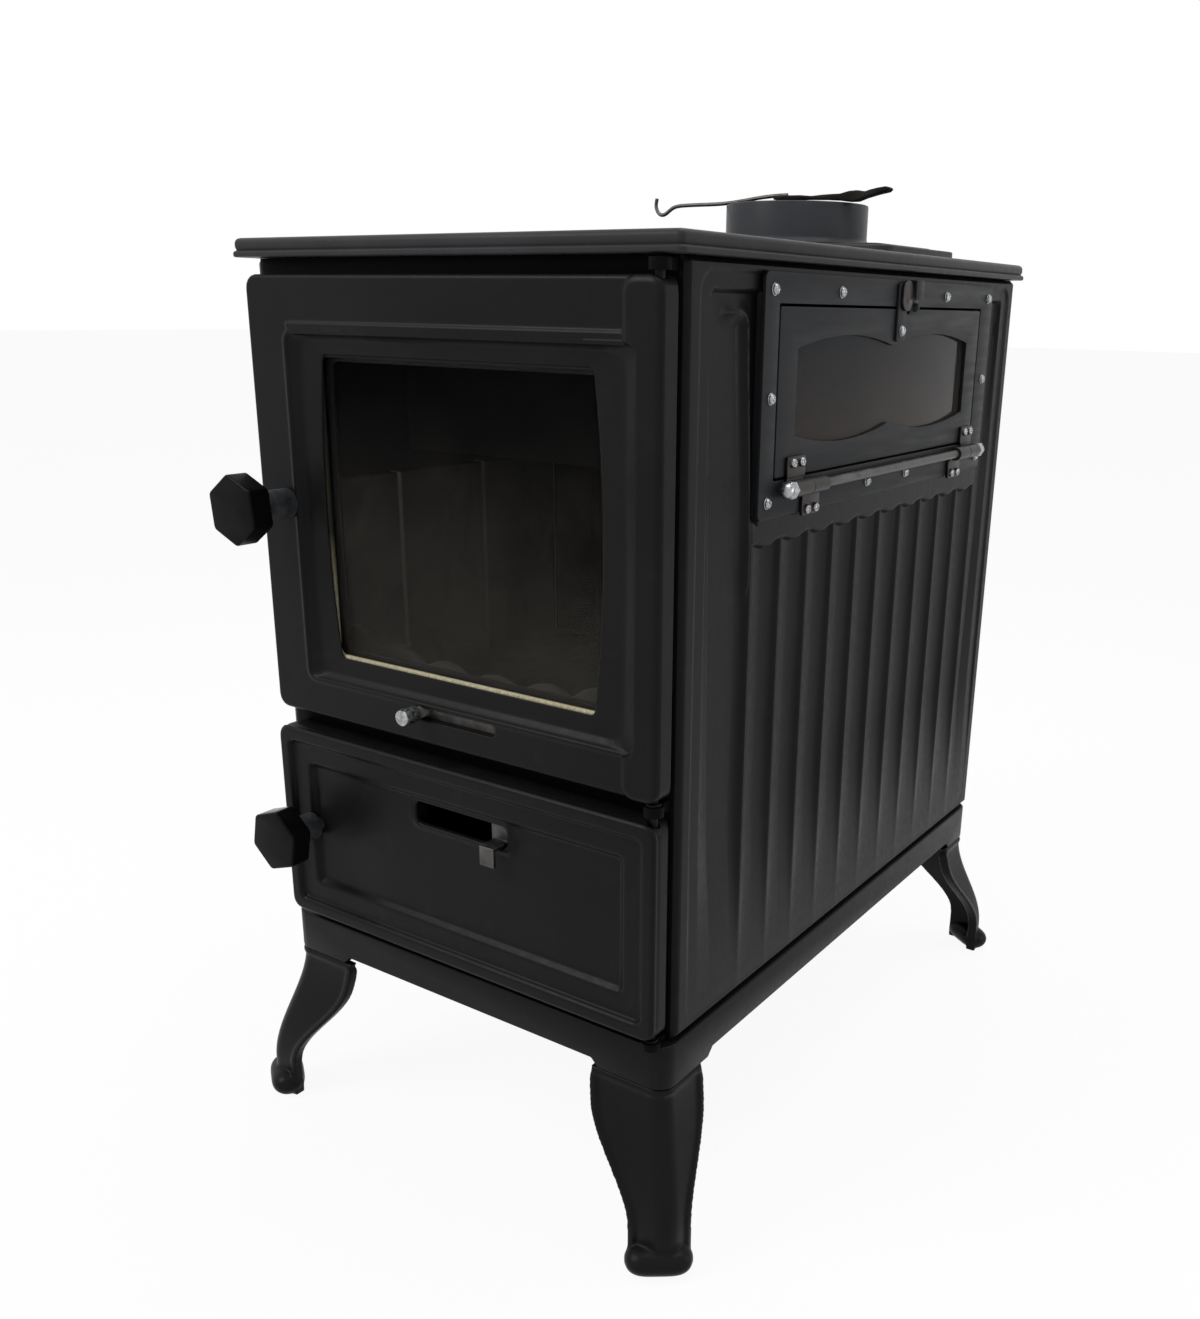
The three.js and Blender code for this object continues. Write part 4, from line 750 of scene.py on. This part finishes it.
def side_panel(name, node, side, has_oven):
    ys = lines(-HALF_DEPTH, HALF_DEPTH, 1.25)
    zs = lines(PANEL_LOW + GAP, PANEL_HIGH - GAP, 9, [
        (PANEL_LOW + 6, PANEL_LOW + 24, 1.5),
        (PANEL_HIGH - 56, PANEL_HIGH - 4, 1.5),
        (RIB_TOP - 8, RIB_TOP + 12, 1.0),
    ])
    hole = (-190.8, 206.8, 616.7, 752.3) if has_oven else None
    if hole:
        ys = with_edges(ys, hole[:2])
        zs = with_edges(zs, hole[2:])
    field_x = HALF_WIDTH - FIELD_DEPTH
    inner_x = HALF_WIDTH - WALL
    round_over = 5
    points, faces = [], []
    for z in zs:
        for y in ys:
            x = field_x + panel_height(y, z, has_oven)
            rim = min(y - ys[0], ys[-1] - y, z - zs[0], zs[-1] - z)
            if rim < round_over:
                x -= round_over - sqrt(max(0, round_over**2 - (round_over - rim) ** 2))
            points.append(metres(side * x, y, z))
    width = len(ys)

    def in_hole(i, j):
        return hole and hole[0] <= ys[i] < hole[1] and hole[2] <= zs[j] < hole[3]

    for j in range(len(zs) - 1):
        for i in range(width - 1):
            if not in_hole(i, j):
                a = j * width + i
                faces.append((a, a + 1, a + 1 + width, a + width))

    def quad(*corners):
        faces.append(tuple(range(len(points), len(points) + 4)))
        points.extend(metres(side * x, y, z) for x, y, z in corners)

    def walls(y0, y1, z0, z1, x):
        uprights = [((y, z0), (y, z1)) for y in (y0, y1)]
        levels = [((y0, z), (y1, z)) for z in (z0, z1)]
        for a, b in uprights + levels:
            quad((x, *a), (x, *b), (inner_x, *b), (inner_x, *a))

    walls(ys[0], ys[-1], zs[0], zs[-1], HALF_WIDTH - round_over)
    if hole:
        y0, y1, z0, z1 = hole
        walls(*hole, HALF_WIDTH)
        backs = [
            (ys[0], y0, zs[0], zs[-1]),
            (y1, ys[-1], zs[0], zs[-1]),
            (y0, y1, zs[0], z0),
            (y0, y1, z1, zs[-1]),
        ]
    else:
        backs = [(ys[0], ys[-1], zs[0], zs[-1])]
    for y0, y1, z0, z1 in backs:
        quad((inner_x, y0, z0), (inner_x, y1, z0), (inner_x, y1, z1), (inner_x, y0, z1))
    skin = mesh_object("skin", points, faces)
    ledge_x = sorted((side * (inner_x - 24), side * (inner_x + 1)))
    ledge = round_edges(box_piece("ledge", *ledge_x, -290, 63, LEDGE_TOP - 10, LEDGE_TOP), 1.5)
    obj = joined(name, [skin, ledge])
    dress(obj, IRON, node, angle=40)


# ---------- top plate, boss, collar and lid ----------


FLUE_Y = 224
LID_Y = -165
BOSS_TOP = 806
UPPER_BOSS_TOP = 809
COLLAR_INNER = 69
COLLAR_OUTER = 75
COLLAR_TOP = 850
LID_RADIUS = 82


def plate_edge():
    """(inset, z) pairs up the plate's edge: a rolled lip, then a quarter round to the top."""
    levels = [(2, 0), (0.8, 0.3), (0.1, 1), (0, 2), (0.2, 3.6), (0.9, 4.5), (2.2, 5), (3, 5.4)]
    levels += [(6.8 - 5 * cos(a), 9 + 5 * sin(a)) for a in (-0.6, -0.4, -0.2, 0)]
    turn = (0.2, 0.4, 0.6, 0.8, 1.0, 1.2, 1.4, 1.5708)
    levels += [(6.8 - 5 * cos(a), 10 + 5 * sin(a)) for a in turn]
    return [(inset, PANEL_HIGH + z) for inset, z in levels]


def plate_bore(radius, y, low):
    high = UPPER_BOSS_TOP + 6
    profile = [(0, low), (radius, low), (radius, high), (0, high)]
    return lathe("bore", profile, (0, y, 0), "Z", 128)


def boss(name, inset, rear_inset, foot, top):
    """One step of the boss, with a fillet at its foot and a rounded upper edge."""
    steps = [(3, 780), (3, foot), (1.6, foot + 0.35), (0.6, foot + 1.2), (0, foot + 2.6)]
    steps += [(0, top - 1.8), (-0.25, top - 1), (-0.9, top - 0.3), (-1.8, top)]
    rings = []
    for grow, z in steps:
        x = 149 - inset + grow
        outline = rounded_rect(-x, x, 132 + inset - grow, 309 - rear_inset + grow, 16 + grow, 8)
        rings.append([(u, v, z) for u, v in outline])
    return cut_away(loft(name, rings), [plate_bore(65, FLUE_Y, 770)])


def top_plate():
    def ring(inset, z):
        x = HALF_WIDTH + 8 - inset
        front = -HALF_DEPTH - 20 + inset
        rear = HALF_DEPTH + 8 - inset
        return [(u, v, z) for u, v in rounded_rect(-x, x, front, rear, max(7 - inset, 3), 8)]

    slab = loft("slab", [ring(inset, z) for inset, z in plate_edge()])
    bores = [plate_bore(65, FLUE_Y, 770), plate_bore(72, LID_Y, 770)]
    cut_away(slab, [*bores, plate_bore(LID_RADIUS + 1, LID_Y, 785.5)])
    lower = boss("boss", 0, 0, PLATE_TOP - 0.4, BOSS_TOP)
    upper = boss("upper_boss", 22, 7, BOSS_TOP - 0.2, UPPER_BOSS_TOP)
    obj = joined("cooking_plate", [slab, lower, upper])
    # the lighter copy of the iron is painted light on the faces that look upward
    dress(obj, PAINTED_LIGHT_PLATE, "top_plate", angle=30)


def collar():
    z = UPPER_BOSS_TOP + GAP
    inner, outer, top = COLLAR_INNER, COLLAR_OUTER, COLLAR_TOP
    profile = [(inner, z), (outer + 5, z), (outer + 5, z + 1.8)]
    profile += [(outer + 5 - 0.6 * i, z + 1.8 + 0.5 * i) for i in range(1, 3)]
    for angle in (0.2, 0.5, 0.8, 1.1, 1.3, 1.57):
        height = z + 3.2 + 4.5 * (1 - cos(angle))
        profile.append((outer + 4 * (1 - sin(angle)), height))
    profile += [(outer, top - 1.4), (outer - 0.4, top - 0.4), (outer - 1.4, top)]
    profile += [(inner + 1.4, top), (inner + 0.4, top - 0.4), (inner, top - 1.4), (inner, z)]
    obj = lathe("flue_ring", profile, (0, FLUE_Y, 0), "Z", 160)
    dress(obj, COLLAR_IRON, "flue_collar", angle=40)


def lid():
    seat = PLATE_TOP - 7.2
    profile = [(0, seat - 7), (70, seat - 7), (71, seat - 6), (71, seat), (LID_RADIUS - 0.6, seat)]
    profile += [(LID_RADIUS, seat + 0.6), (LID_RADIUS, PLATE_TOP - 1.4)]
    profile += [(LID_RADIUS - 0.4, PLATE_TOP - 0.4), (LID_RADIUS - 1.4, PLATE_TOP)]
    profile += [(60, PLATE_TOP), (0, PLATE_TOP)]
    disc = lathe("disc", profile, (0, LID_Y, 0), "Z", 160)
    low, high = PLATE_TOP - 4, PLATE_TOP + 2
    hole = [(0, low), (8.4, low), (9, low + 0.6), (9, high), (0, high)]
    obj = cut_away(disc, [lathe("socket", hole, (0, LID_Y - 41, 0), "Z", 48)])
    obj.name = "round_lid"
    # the lighter copy of the iron is painted light on the lid's upward face
    dress(obj, PAINTED_LIGHT_PLATE, "cooktop_lid", angle=30)


# ---------- knobs, latches and pins ----------


def hexagon(u, v, radius, turn):
    angles = [turn + pi * i / 3 for i in range(6)]
    return [(radius * cos(a) + u, radius * sin(a) + v) for a in angles]


def knob(name, node, z, standoff, tilt):
    outline = rounded_polygon(hexagon(LATCH_X, z, 29.5, pi / 2 + tilt), 3.2, 5)
    back = DOOR_FRONT - standoff - GAP
    obj = plate(name, [outline], "Y", back - 20, back, 1.6, 4)
    dress(obj, BAKELITE, node, angle=50)


def latch(name, node, z, standoff):
    back = RAIL_FRONT - 0.5
    front = DOOR_FRONT - standoff
    end = -298.5
    profile = [(0, front - 6), (4, front - 6), (4, front), (9.5, front), (11, front + 0.6)]
    profile += [(12.1, front + 1.8), (12.5, front + 3.4), (12.5, back - 0.8), (12, back)]
    profile += [(7, back), (7, end), (0, end)]
    shaft = lathe("shaft", profile, (LATCH_X, 0, z), "Y", 64)
    tongue = box_piece("tongue", LATCH_X - 6, LATCH_X + 6, -301, -295, z - 28, z + 6)
    obj = joined(name, [shaft, round_edges(tongue, 1.2)])
    dress(obj, KNOB_BOSS, node)


def pins():
    for place, washer_top in (("top", None), ("middle", 397.7), ("bottom", 198.7)):
        node = "hinge_pin_" + place
        low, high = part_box(node)
        z0, z1 = low.z / MM, high.z / MM
        profile = [(0, z0), (3, z0), (3.5, z0 + 0.6), (3.5, z1 - 0.6), (3, z1), (0, z1)]
        pieces = [lathe("pin", profile, (HINGE_X, HINGE_Y, 0), "Z", 32)]
        if washer_top:
            steps = [(3.4, -2), (5.6, -2), (6, -1.6), (6, -0.4), (5.6, 0), (3.4, 0)]
            ring = [(radius, washer_top + z) for radius, z in steps]
            pieces.append(lathe("washer", ring, (HINGE_X, HINGE_Y, 0), "Z", 32))
        # the pins take the near-black steel: painted shade in the gaps beside the doors
        dress(joined("door_pin_" + place, pieces), PAINTED_SHADE_PIN, node)


def air_knob():
    y = DOOR_FRONT - 1.3
    profile = [(0, y - 16), (5.4, y - 16), (6.4, y - 15.6), (7, y - 14.6)]
    profile += [(7, y - 0.5), (6.6, y), (3.6, y)]
    obj = lathe("slide_knob", profile, (-28, 0, AIR_SLOT_Z), "Y", 48)
    dress(obj, ZINC, "firebox_air_knob")


# ---------- fasteners ----------


def screw_head(name, x, y, z, radius, height, turn=0.0, washer=True):
    """A pan head across the X axis with a cross recess, on a thin washer."""
    columns, rows = 48, 14
    dome = 0.82
    recess = radius * 0.62
    points = []
    for row in range(rows + 1):
        share = row / rows
        r = radius * sin(share / dome * pi / 2) if share < dome else radius
        h = height * (1 - 0.45 * (r / radius) ** 4)
        if share >= dome:
            h *= 1 - (share - dome) / (1 - dome)
        for column in range(columns):
            around = 2 * pi * column / columns
            u, v = r * cos(around + turn), r * sin(around + turn)
            arms = min(abs(r * cos(around)), abs(r * sin(around)))
            depth = 0.0
            if r < recess and arms < radius * 0.16:
                depth = 1.3 * (1 - (r / recess) ** 3)
            points.append(metres(x + h - depth, y + u, z + v))
    head = fix_normals(weld(mesh_object(name, points, ring_faces(rows + 1, columns))))
    if not washer:
        return head
    bore, size = radius * 0.5, radius + 0.6
    ring = [(bore, 0), (size - 0.3, 0), (size, 0.2), (size, 0.5), (size - 0.3, 0.7), (bore, 0.7)]
    return joined(name, [head, lathe("washer", [(r, h + x) for r, h in ring], (0, y, z), "X", 40)])


BOLT_COLUMN = 216.5
BOLT_ROW = 77
# places of the bolts along Y and Z, from the middle of the oven's frame
FRAME_BOLTS = {
    "top_front": (-BOLT_COLUMN, BOLT_ROW), "top_front_mid": (-BOLT_COLUMN / 2, BOLT_ROW),
    "top_rear_mid": (BOLT_COLUMN / 2, BOLT_ROW), "top_rear": (BOLT_COLUMN, BOLT_ROW),
    "side_front": (-BOLT_COLUMN, 0), "side_rear": (BOLT_COLUMN, 0),
    "bottom_front": (-BOLT_COLUMN, -BOLT_ROW), "bottom_front_mid": (-40.5, -BOLT_ROW),
    "bottom_rear_mid": (40.5, -BOLT_ROW), "bottom_rear": (BOLT_COLUMN, -BOLT_ROW),
}


def frame_bolts():
    middle = (OVEN_LOW + OVEN_HIGH) / 2
    seat = OVEN_SHEET[1] + 0.1
    for i, (place, (y, z)) in enumerate(FRAME_BOLTS.items()):
        head = screw_head("bolt_" + place, seat, OVEN_Y + y, middle + z, 3.9, 3.4, 0.4 * i)
        dress(head, ZINC, "frame_bolt_" + place, angle=45)


# ---------- oven ----------

DOOR_FRONT_Y = -193.5
DOOR_REAR_Y = 209.5
DOOR_LOW = 622
DOOR_HIGH = 747
# where the sheets of the oven's frame and door, and the leaves on them, lie along X
OVEN_SHEET = (214.3, 217.3)
LEAF = (217.6, 220.1)
LEAF_LENGTH = 29
BARREL = 26
ROD_X = 225
ROD_Z = 613
HINGE_MIDDLE = 15
HINGE_SPAN = 193


def window_outline():
    """The oven's window: each long edge bows outward twice."""
    y, z = 8, (DOOR_LOW + DOOR_HIGH) / 2
    half = 172.5
    points = []
    for side in (-1, 1):
        start, end = side * half, -side * half
        edge, bow = z + side * 32.5, z + side * (32.5 + 18)
        points.append((y + start, edge))
        points += quadratic((y + start, edge), (y + start / 2, bow), (y, edge), 18)
        points += quadratic((y, edge), (y + end / 2, bow), (y + end, edge), 18)
    return points


def oven():
    outline = rounded_rect(OVEN_Y - OVEN_HALF, OVEN_Y + OVEN_HALF, OVEN_LOW, OVEN_HIGH, 5.5)
    ends = (DOOR_FRONT_Y - 2, DOOR_REAR_Y + 2, DOOR_LOW - 2, DOOR_HIGH + 2)
    surround = [outline, rounded_rect(*ends, 1.5, 4)]
    dress(plate("oven_surround", surround, "X", *OVEN_SHEET, 0.5), SHEET, "oven_frame")
    sheet = [rounded_rect(DOOR_FRONT_Y, DOOR_REAR_Y, DOOR_LOW, DOOR_HIGH, 2.5, 5), window_outline()]
    dress(plate("oven_door_sheet", sheet, "X", *OVEN_SHEET, 0.5), SHEET, "oven_door")
    low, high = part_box("oven_glass")
    front, rear = (low.y - BODY_Y) / MM, (high.y - BODY_Y) / MM
    outline = rounded_rect(front, rear, low.z / MM, high.z / MM, 3, 4)
    pane = plate("oven_pane", [outline], "X", low.x / MM, high.x / MM, 0.4)
    dress(pane, OVEN_GLASS, "oven_glass")
    rounded("oven_box", "oven_chamber", SOOTY, 0.7)
    rounded("oven_tray", "baking_tray", PLAIN, 0.7)


def hinge_half(name, node, y0, direction, leaf_y):
    """A knuckle on the rod with its leaf and two screws; direction is up (1) or down (-1)."""
    y1 = y0 + BARREL
    profile = [(4.6, y0), (6.1, y0), (6.5, y0 + 0.4), (6.5, y1 - 0.4), (6.1, y1), (4.6, y1)]
    profile.append(profile[0])
    barrel = lathe("barrel", profile, (ROD_X, 0, ROD_Z), "Y", 48)
    levels = sorted((ROD_Z + direction * 7, ROD_Z + direction * 24))
    outline = rounded_rect(leaf_y, leaf_y + LEAF_LENGTH, *levels, 2, 4)
    leaf = plate("leaf", [outline], "X", *LEAF, 0.4)
    neck_levels = sorted((ROD_Z, ROD_Z + direction * 8))
    neck = round_edges(box_piece("neck", *LEAF, y0, y1, *neck_levels), 0.4)
    dress(joined(name, [barrel, leaf, neck]), KNUCKLE, node)
    heads = []
    for side in (-1, 1):
        place = (LEAF[1], leaf_y + LEAF_LENGTH / 2 + side * 7, ROD_Z + direction * 19)
        heads.append(screw_head("head", *place, 3.7, 3.2, 0.7 * side, False))
    dress_detail(joined(name + "_screws", heads), ZINC, body_of_node[node])


def acorn_nut(name, node, side):
    start = HINGE_SPAN + GAP
    end = start + 9
    rings = []
    for height, size in ((start, 0.92), (start + 0.6, 1.0), (end - 1.2, 1.0), (end - 0.2, 0.93)):
        outline = rounded_polygon(hexagon(0, 0, 7.5 * size, 0), 0.8, 4)
        y = HINGE_MIDDLE + side * height
        rings.append([(ROD_X + u, y, ROD_Z + v) for u, v in outline])
    prism = loft("prism", rings)
    profile = [(6.3, side * (end - 0.4) + HINGE_MIDDLE)]
    for i in range(1, 10):
        angle = pi / 2 * i / 9
        height = end + 6 * sin(angle)
        profile.append((6.0 * cos(angle), side * height + HINGE_MIDDLE))
    dome = lathe("dome", profile, (ROD_X, 0, ROD_Z), "Y", 40)
    dress(joined(name, [prism, dome]), ZINC, node, angle=30)


def oven_hinges():
    front = HINGE_MIDDLE - HINGE_SPAN
    rear = HINGE_MIDDLE + HINGE_SPAN
    hinge_half("door_knuckle_front", "oven_door_hinge_front", front, 1, front)
    inner = BARREL + 0.5
    hinge_half("frame_knuckle_front", "oven_frame_hinge_front", front + inner, -1, front + inner)
    hinge_half(
        "frame_knuckle_rear", "oven_frame_hinge_rear",
        rear - inner - BARREL, -1, rear - inner - LEAF_LENGTH,
    )
    hinge_half("door_knuckle_rear", "oven_door_hinge_rear", rear - BARREL, 1, rear - LEAF_LENGTH)
    end = [(0, 9), (2.8, 9), (3, 8), (3, 0), (3.7, 0), (4, -0.3)]
    profile = [(radius, front - y) for radius, y in end]
    profile += [(radius, rear + y) for radius, y in reversed(end)]
    rod = lathe("hinge_rod", profile, (ROD_X, 0, ROD_Z), "Y", 40)
    dress(rod, STEEL, "oven_hinge_rod")
    acorn_nut("dome_nut_front", "acorn_nut_front", -1)
    acorn_nut("dome_nut_rear", "acorn_nut_rear", 1)


def oven_latch():
    strip_face = LEAF[0] + 2
    tab_back, tab_face = strip_face + GAP, strip_face + 2.8
    strip = [rounded_rect(9, 27, 720, 768, 3, 5)]
    dress(plate("latch_arm", strip, "X", LEAF[0], strip_face, 0.4), SHEET, "oven_latch_strip")
    screw = screw_head("latch_arm_screw", strip_face, 18, 729, 4, 3.4, 0.5)
    dress_detail(screw, ZINC, "oven_door_body")
    outline = rounded_rect(12.5, 31.5, 745.5, 770.5, 8.5, 10)
    tab = plate("turn_tab", [outline], "X", tab_back, tab_face, 0.5)
    head = tab_face + 0.5
    rivet = [(0, 0), (1.6, 0), (2.4, -0.4), (2.7, -0.9), (2.5, -5), (0, -5)]
    stud = lathe("stud", rivet, (head, 22, 754), "X", 32)
    dress(joined("turn_tab", [tab, stud]), KNUCKLE, "oven_latch_tab")
    rounded("oven_latch_keeper", "keeper_bracket", SHEET, 0.5)


# ---------- doors and hearth ----------


FIRE_LOW = 398
FIRE_TOP = 765
# left, right, foot and top of the hollow around the glass
HOLLOW = (-161, 189, FIRE_LOW + 33, FIRE_TOP - 43)
HOLLOW_CORNER = 9


def window(grow):
    """The glass opening, whose upright ends bow outward."""
    left, right = -133 - grow, 153 + grow
    low, high = FIRE_LOW + 56 - grow, FIRE_TOP - 61 + grow
    middle = (low + high) / 2
    outline = [(left + 8, low), (right - 8, low)]
    outline += quadratic((right - 8, low), (right + 8, middle), (right - 8, high), 24)
    outline += [(left + 8, high)]
    return outline + quadratic((left + 8, high), (left - 8, middle), (left + 8, low), 24)


def spokes(outline, centre, count):
    """Where rays from the centre, at even angles, meet an outline."""
    points = []
    for i in range(count):
        angle = 2 * pi * i / count
        du, dv = cos(angle), sin(angle)
        best = 0.0
        for (u0, v0), (u1, v1) in zip(outline, outline[1:] + outline[:1]):
            eu, ev = u1 - u0, v1 - v0
            cross = du * ev - dv * eu
            if abs(cross) < 1e-9:
                continue
            reach = ((u0 - centre[0]) * ev - (v0 - centre[1]) * eu) / cross
            share = ((u0 - centre[0]) * dv - (v0 - centre[1]) * du) / cross
            if reach > 0 and -1e-6 <= share <= 1 + 1e-6:
                best = max(best, reach)
        points.append((centre[0] + best * du, centre[1] + best * dv))
    return points


def window_funnel():
    """The soft hollow around the glass: the solid to cut, and the bed that it leaves."""
    centre = (10, (FIRE_LOW + FIRE_TOP) / 2)
    rim = spokes(rounded_rect(*HOLLOW, HOLLOW_CORNER), centre, 288)
    inner = spokes(window(0.4), centre, 288)

    def ring(share, depth):
        y = RAIL_FRONT + depth
        pairs = zip(rim, inner)
        return [(a + (c - a) * share, y, b + (d - b) * share) for (a, b), (c, d) in pairs]

    steps = [(0, -6), (0, 0.2), (0.1, 1.2), (0.34, 5.4), (0.44, 6), (1, 7.4)]
    rings = [ring(*step) for step in steps]
    cut = loft("funnel", [*rings, ring(1.0, 9.5)])
    back = [ring(1.0, 8.7), ring(-0.06, 8.7), ring(-0.06, 0.2)]
    bed = loft("bed", [*rings[1:], *back, rings[1]], closed_ends=False)
    return cut, weld(bed)


def window_beads():
    """The raised edge of the hollow: a slim bead all round, and a second one over the top."""
    left, right, _, high = HOLLOW
    rim = rounded_rect(*HOLLOW, HOLLOW_CORNER)
    face = RAIL_FRONT
    ring = tube("slim_bead", [(x, face + 1.4, z) for x, z in rim], 2.6, 12, True)
    over = [(left + 4, face + 1, high + 4.5), (left + 14, face + 0.6, high + 5)]
    over += [(right - 10, face + 0.6, high + 5), (right + 2, face + 1, high + 5)]
    return [ring, tube("top_bead", over, 2.8, 12)]


def fire_door():
    cut, bed = window_funnel()
    obj = cut_away(cad_copy("firebox_door", "door_body"), [cut])
    outline = rounded_rect(-35, 52, AIR_SLOT_Z - 6.5, AIR_SLOT_Z + 6.5, 3.9)
    cut_away(bed, [plate("slot", [outline], "Y", RAIL_FRONT - 20, RAIL_FRONT + 20, 0.1)])
    obj = joined("fire_door_casting", [obj, bed] + window_beads())
    dress(soften(obj, 1.0, 5, 0.45), IRON, "firebox_door", angle=60)


def castings():
    fire_door()
    ash = soften(cad_copy("ash_door", "ash_door_casting"), 1.1, 8, 0.4)
    dress(ash, IRON, "ash_door", angle=60)
    # the front casting takes the darker copy of the iron: painted shade in the gaps around the
    # doors
    rounded("front_frame", "front_casting", PAINTED_SHADE_FRAME, 1.6, 3)
    rounded("back_panel", "back_casting", IRON, 1.6, 3)
    rounded("grate", "fire_grate", PLAIN, 1.5, 2, 40)
    rounded("lining_left", "fire_brick_left", ASHEN, 1.5, 2, 40)
    rounded("lining_right", "fire_brick_right", ASHEN, 1.5, 2, 40)
    rounded("lining_back", "fire_brick_back", PLAIN, 1.5, 2, 40)
    rounded("log_guard", "log_rail", ASHEN, 1.5, 2, 40)


def door_fittings():
    rounded("ash_pan", "ash_tray", SHEET, 0.7)
    rounded("glass_retainer", "glass_clamp", SHEET, 0.5)
    rounded("ash_air_slide", "ash_shutter", STEEL, 0.5)
    rounded("firebox_air_slide", "fire_shutter", SHUTTER, 0.4, 2, 50)
    rounded("firebox_glass", "fire_pane", FIRE_GLASS, 0.4)
    rounded("glass_rope", "rope_gasket", ROPE, 0.5, 3, 20)


# ---------- poker ----------

HOOK_X = -143


def poker():
    z = COLLAR_TOP + 2 + GAP
    hook = 22
    bend = [(-0.95, 0.36), (-1.03, 0.1), (-1, -0.15), (-0.77, -0.45), (-0.4, -0.42)]
    bend += [(0, -0.05), (0.64, 0)]
    path = [(HOOK_X + along * hook, z + up * hook) for along, up in bend]
    path += [(-100, z), (-75, z), (-45, z + 3.2), (-21, z + 6.5), (1, z + 6.5)]
    rod = tube("poker_bar", [(x, 200, height) for x, height in path], 2, 24)
    dress(rod, STEEL, "poker_rod", angle=60)
    grip = cad_copy("poker_grip", "poker_handle")
    dress(soften(grip, 0.7, 5, 0.6), PLAIN, "poker_grip", angle=60)


# ---------- the stove ----------

rounded("base_frame", "stove_base", IRON, 1.6, 3)
for end, sign_y in (("front", -1), ("rear", 1)):
    for hand, sign_x in (("left", -1), ("right", 1)):
        leg(end + "_" + hand, sign_x, sign_y)
side_panel("oven_side_casting", "side_panel_right", 1, True)
side_panel("plain_side_casting", "side_panel_left", -1, False)
top_plate()
collar()
lid()
castings()
door_fittings()
pins()
knob("fire_knob", "firebox_knob", FIRE_LATCH_Z, FIRE_KNOB_STANDOFF, 0.1)
knob("ash_hex_knob", "ash_knob", ASH_LATCH_Z, ASH_KNOB_STANDOFF, -0.2)
latch("fire_latch", "firebox_latch", FIRE_LATCH_Z, FIRE_KNOB_STANDOFF)
latch("ash_door_latch", "ash_latch", ASH_LATCH_Z, ASH_KNOB_STANDOFF)
air_knob()
oven()
oven_hinges()
oven_latch()
frame_bolts()
poker()


# ---------- studio ----------


def seen_rays(tree):
    """1 for the rays that show the backdrop: straight, mirrored or through glass."""
    path = tree.nodes.new("ShaderNodeLightPath")
    total = path.outputs["Is Camera Ray"]
    for kind in ("Is Glossy Ray", "Is Transmission Ray"):
        inputs = {0: total, 1: path.outputs[kind]}
        total = add_node(tree, "ShaderNodeMath", inputs, operation="MAXIMUM").outputs[0]
    return total


def blended(tree, share, first, second, output):
    inputs = {0: share, 1: first.outputs[0], 2: second.outputs[0]}
    blend = add_node(tree, "ShaderNodeMixShader", inputs)
    tree.links.new(blend.outputs[0], tree.nodes[output].inputs["Surface"])


WHITE = (1, 1, 1, 1)


def floor_material():
    """A pale floor that the camera sees near white, and that still takes shadow."""
    glow_share = 0.93
    material = bpy.data.materials.new("pale_floor")
    material.use_nodes = True
    tree = material.node_tree
    matt = {"Roughness": 0.9, "Specular IOR Level": 0.1, "Base Color": (0.82, 0.82, 0.82, 1)}
    shader = filled(tree, tree.nodes["Principled BSDF"], matt)
    glow = add_node(tree, "ShaderNodeEmission", {"Color": WHITE})
    inputs = {0: seen_rays(tree), 1: glow_share}
    share = add_node(tree, "ShaderNodeMath", inputs, operation="MULTIPLY")
    blended(tree, share.outputs[0], shader, glow, "Material Output")
    return material


def floor():
    size = 30
    corners = [(-size, -size, 0), (size, -size, 0), (size, size, 0), (-size, size, 0)]
    obj = mesh_object("floor", corners, [(0, 1, 2, 3)])
    obj.location.z = -0.5 * MM
    obj.data.materials.append(floor_material())


def world():
    made = bpy.data.worlds.new("studio")
    bpy.context.scene.world = made
    made.use_nodes = True
    tree = made.node_tree
    soft = filled(tree, tree.nodes["Background"], {"Color": WHITE, "Strength": 0.38})
    seen = add_node(tree, "ShaderNodeBackground", {"Color": WHITE, "Strength": 1.0})
    blended(tree, seen_rays(tree), soft, seen, "World Output")


def area_light(name, place, target, size, power):
    data = bpy.data.lights.new(name, "AREA")
    configured(data, shape="RECTANGLE", size=size[0], size_y=size[1], energy=power)
    lamp = scene_object(name, data)
    lamp.location = place
    lamp.rotation_euler = (Vector(target) - Vector(place)).to_track_quat("-Z", "Y").to_euler()


# the photo's camera, in pixels of the photo
PHOTO_WIDTH = 1200
PHOTO_HEIGHT = 1319
FOCAL_LENGTH = 1249.4
CENTRE = (675.5, 713.7)


def camera():
    yaw, pitch, roll = radians(33.31), radians(17.93), radians(1.005)
    level = cos(pitch)
    forward = Vector((-sin(yaw) * level, cos(yaw) * level, -sin(pitch)))
    right = forward.cross(Vector((0, 0, 1))).normalized()
    up = right.cross(forward)
    across = right * cos(roll) + up * sin(roll)
    upward = -right * sin(roll) + up * cos(roll)
    data = bpy.data.cameras.new("camera")
    configured(data, sensor_fit="VERTICAL", sensor_height=36, clip_start=0.05)
    data.lens = FOCAL_LENGTH * data.sensor_height / PHOTO_HEIGHT
    data.shift_x = (PHOTO_WIDTH / 2 - CENTRE[0]) / PHOTO_HEIGHT
    data.shift_y = (CENTRE[1] - PHOTO_HEIGHT / 2) / PHOTO_HEIGHT
    obj = scene_object("camera", data)
    place = Matrix((across, upward, -forward)).transposed().to_4x4()
    place.translation = metres(684, -1035, 743.5)
    obj.matrix_world = place
    bpy.context.scene.camera = obj


floor()
world()
area_light("key", (-1.4, -2.2, 2.6), (0, 0, 0.5), (1.6, 1.6), 60)
area_light("overhead", (0.3, 0.4, 2.9), (0, 0, 0.5), (2.2, 1.8), 50)
area_light("side", (2.4, 1.0, 0.9), (0.2, 0, 0.4), (0.5, 1.4), 10)
camera()
bpy.context.scene.view_settings.view_transform = "Standard"
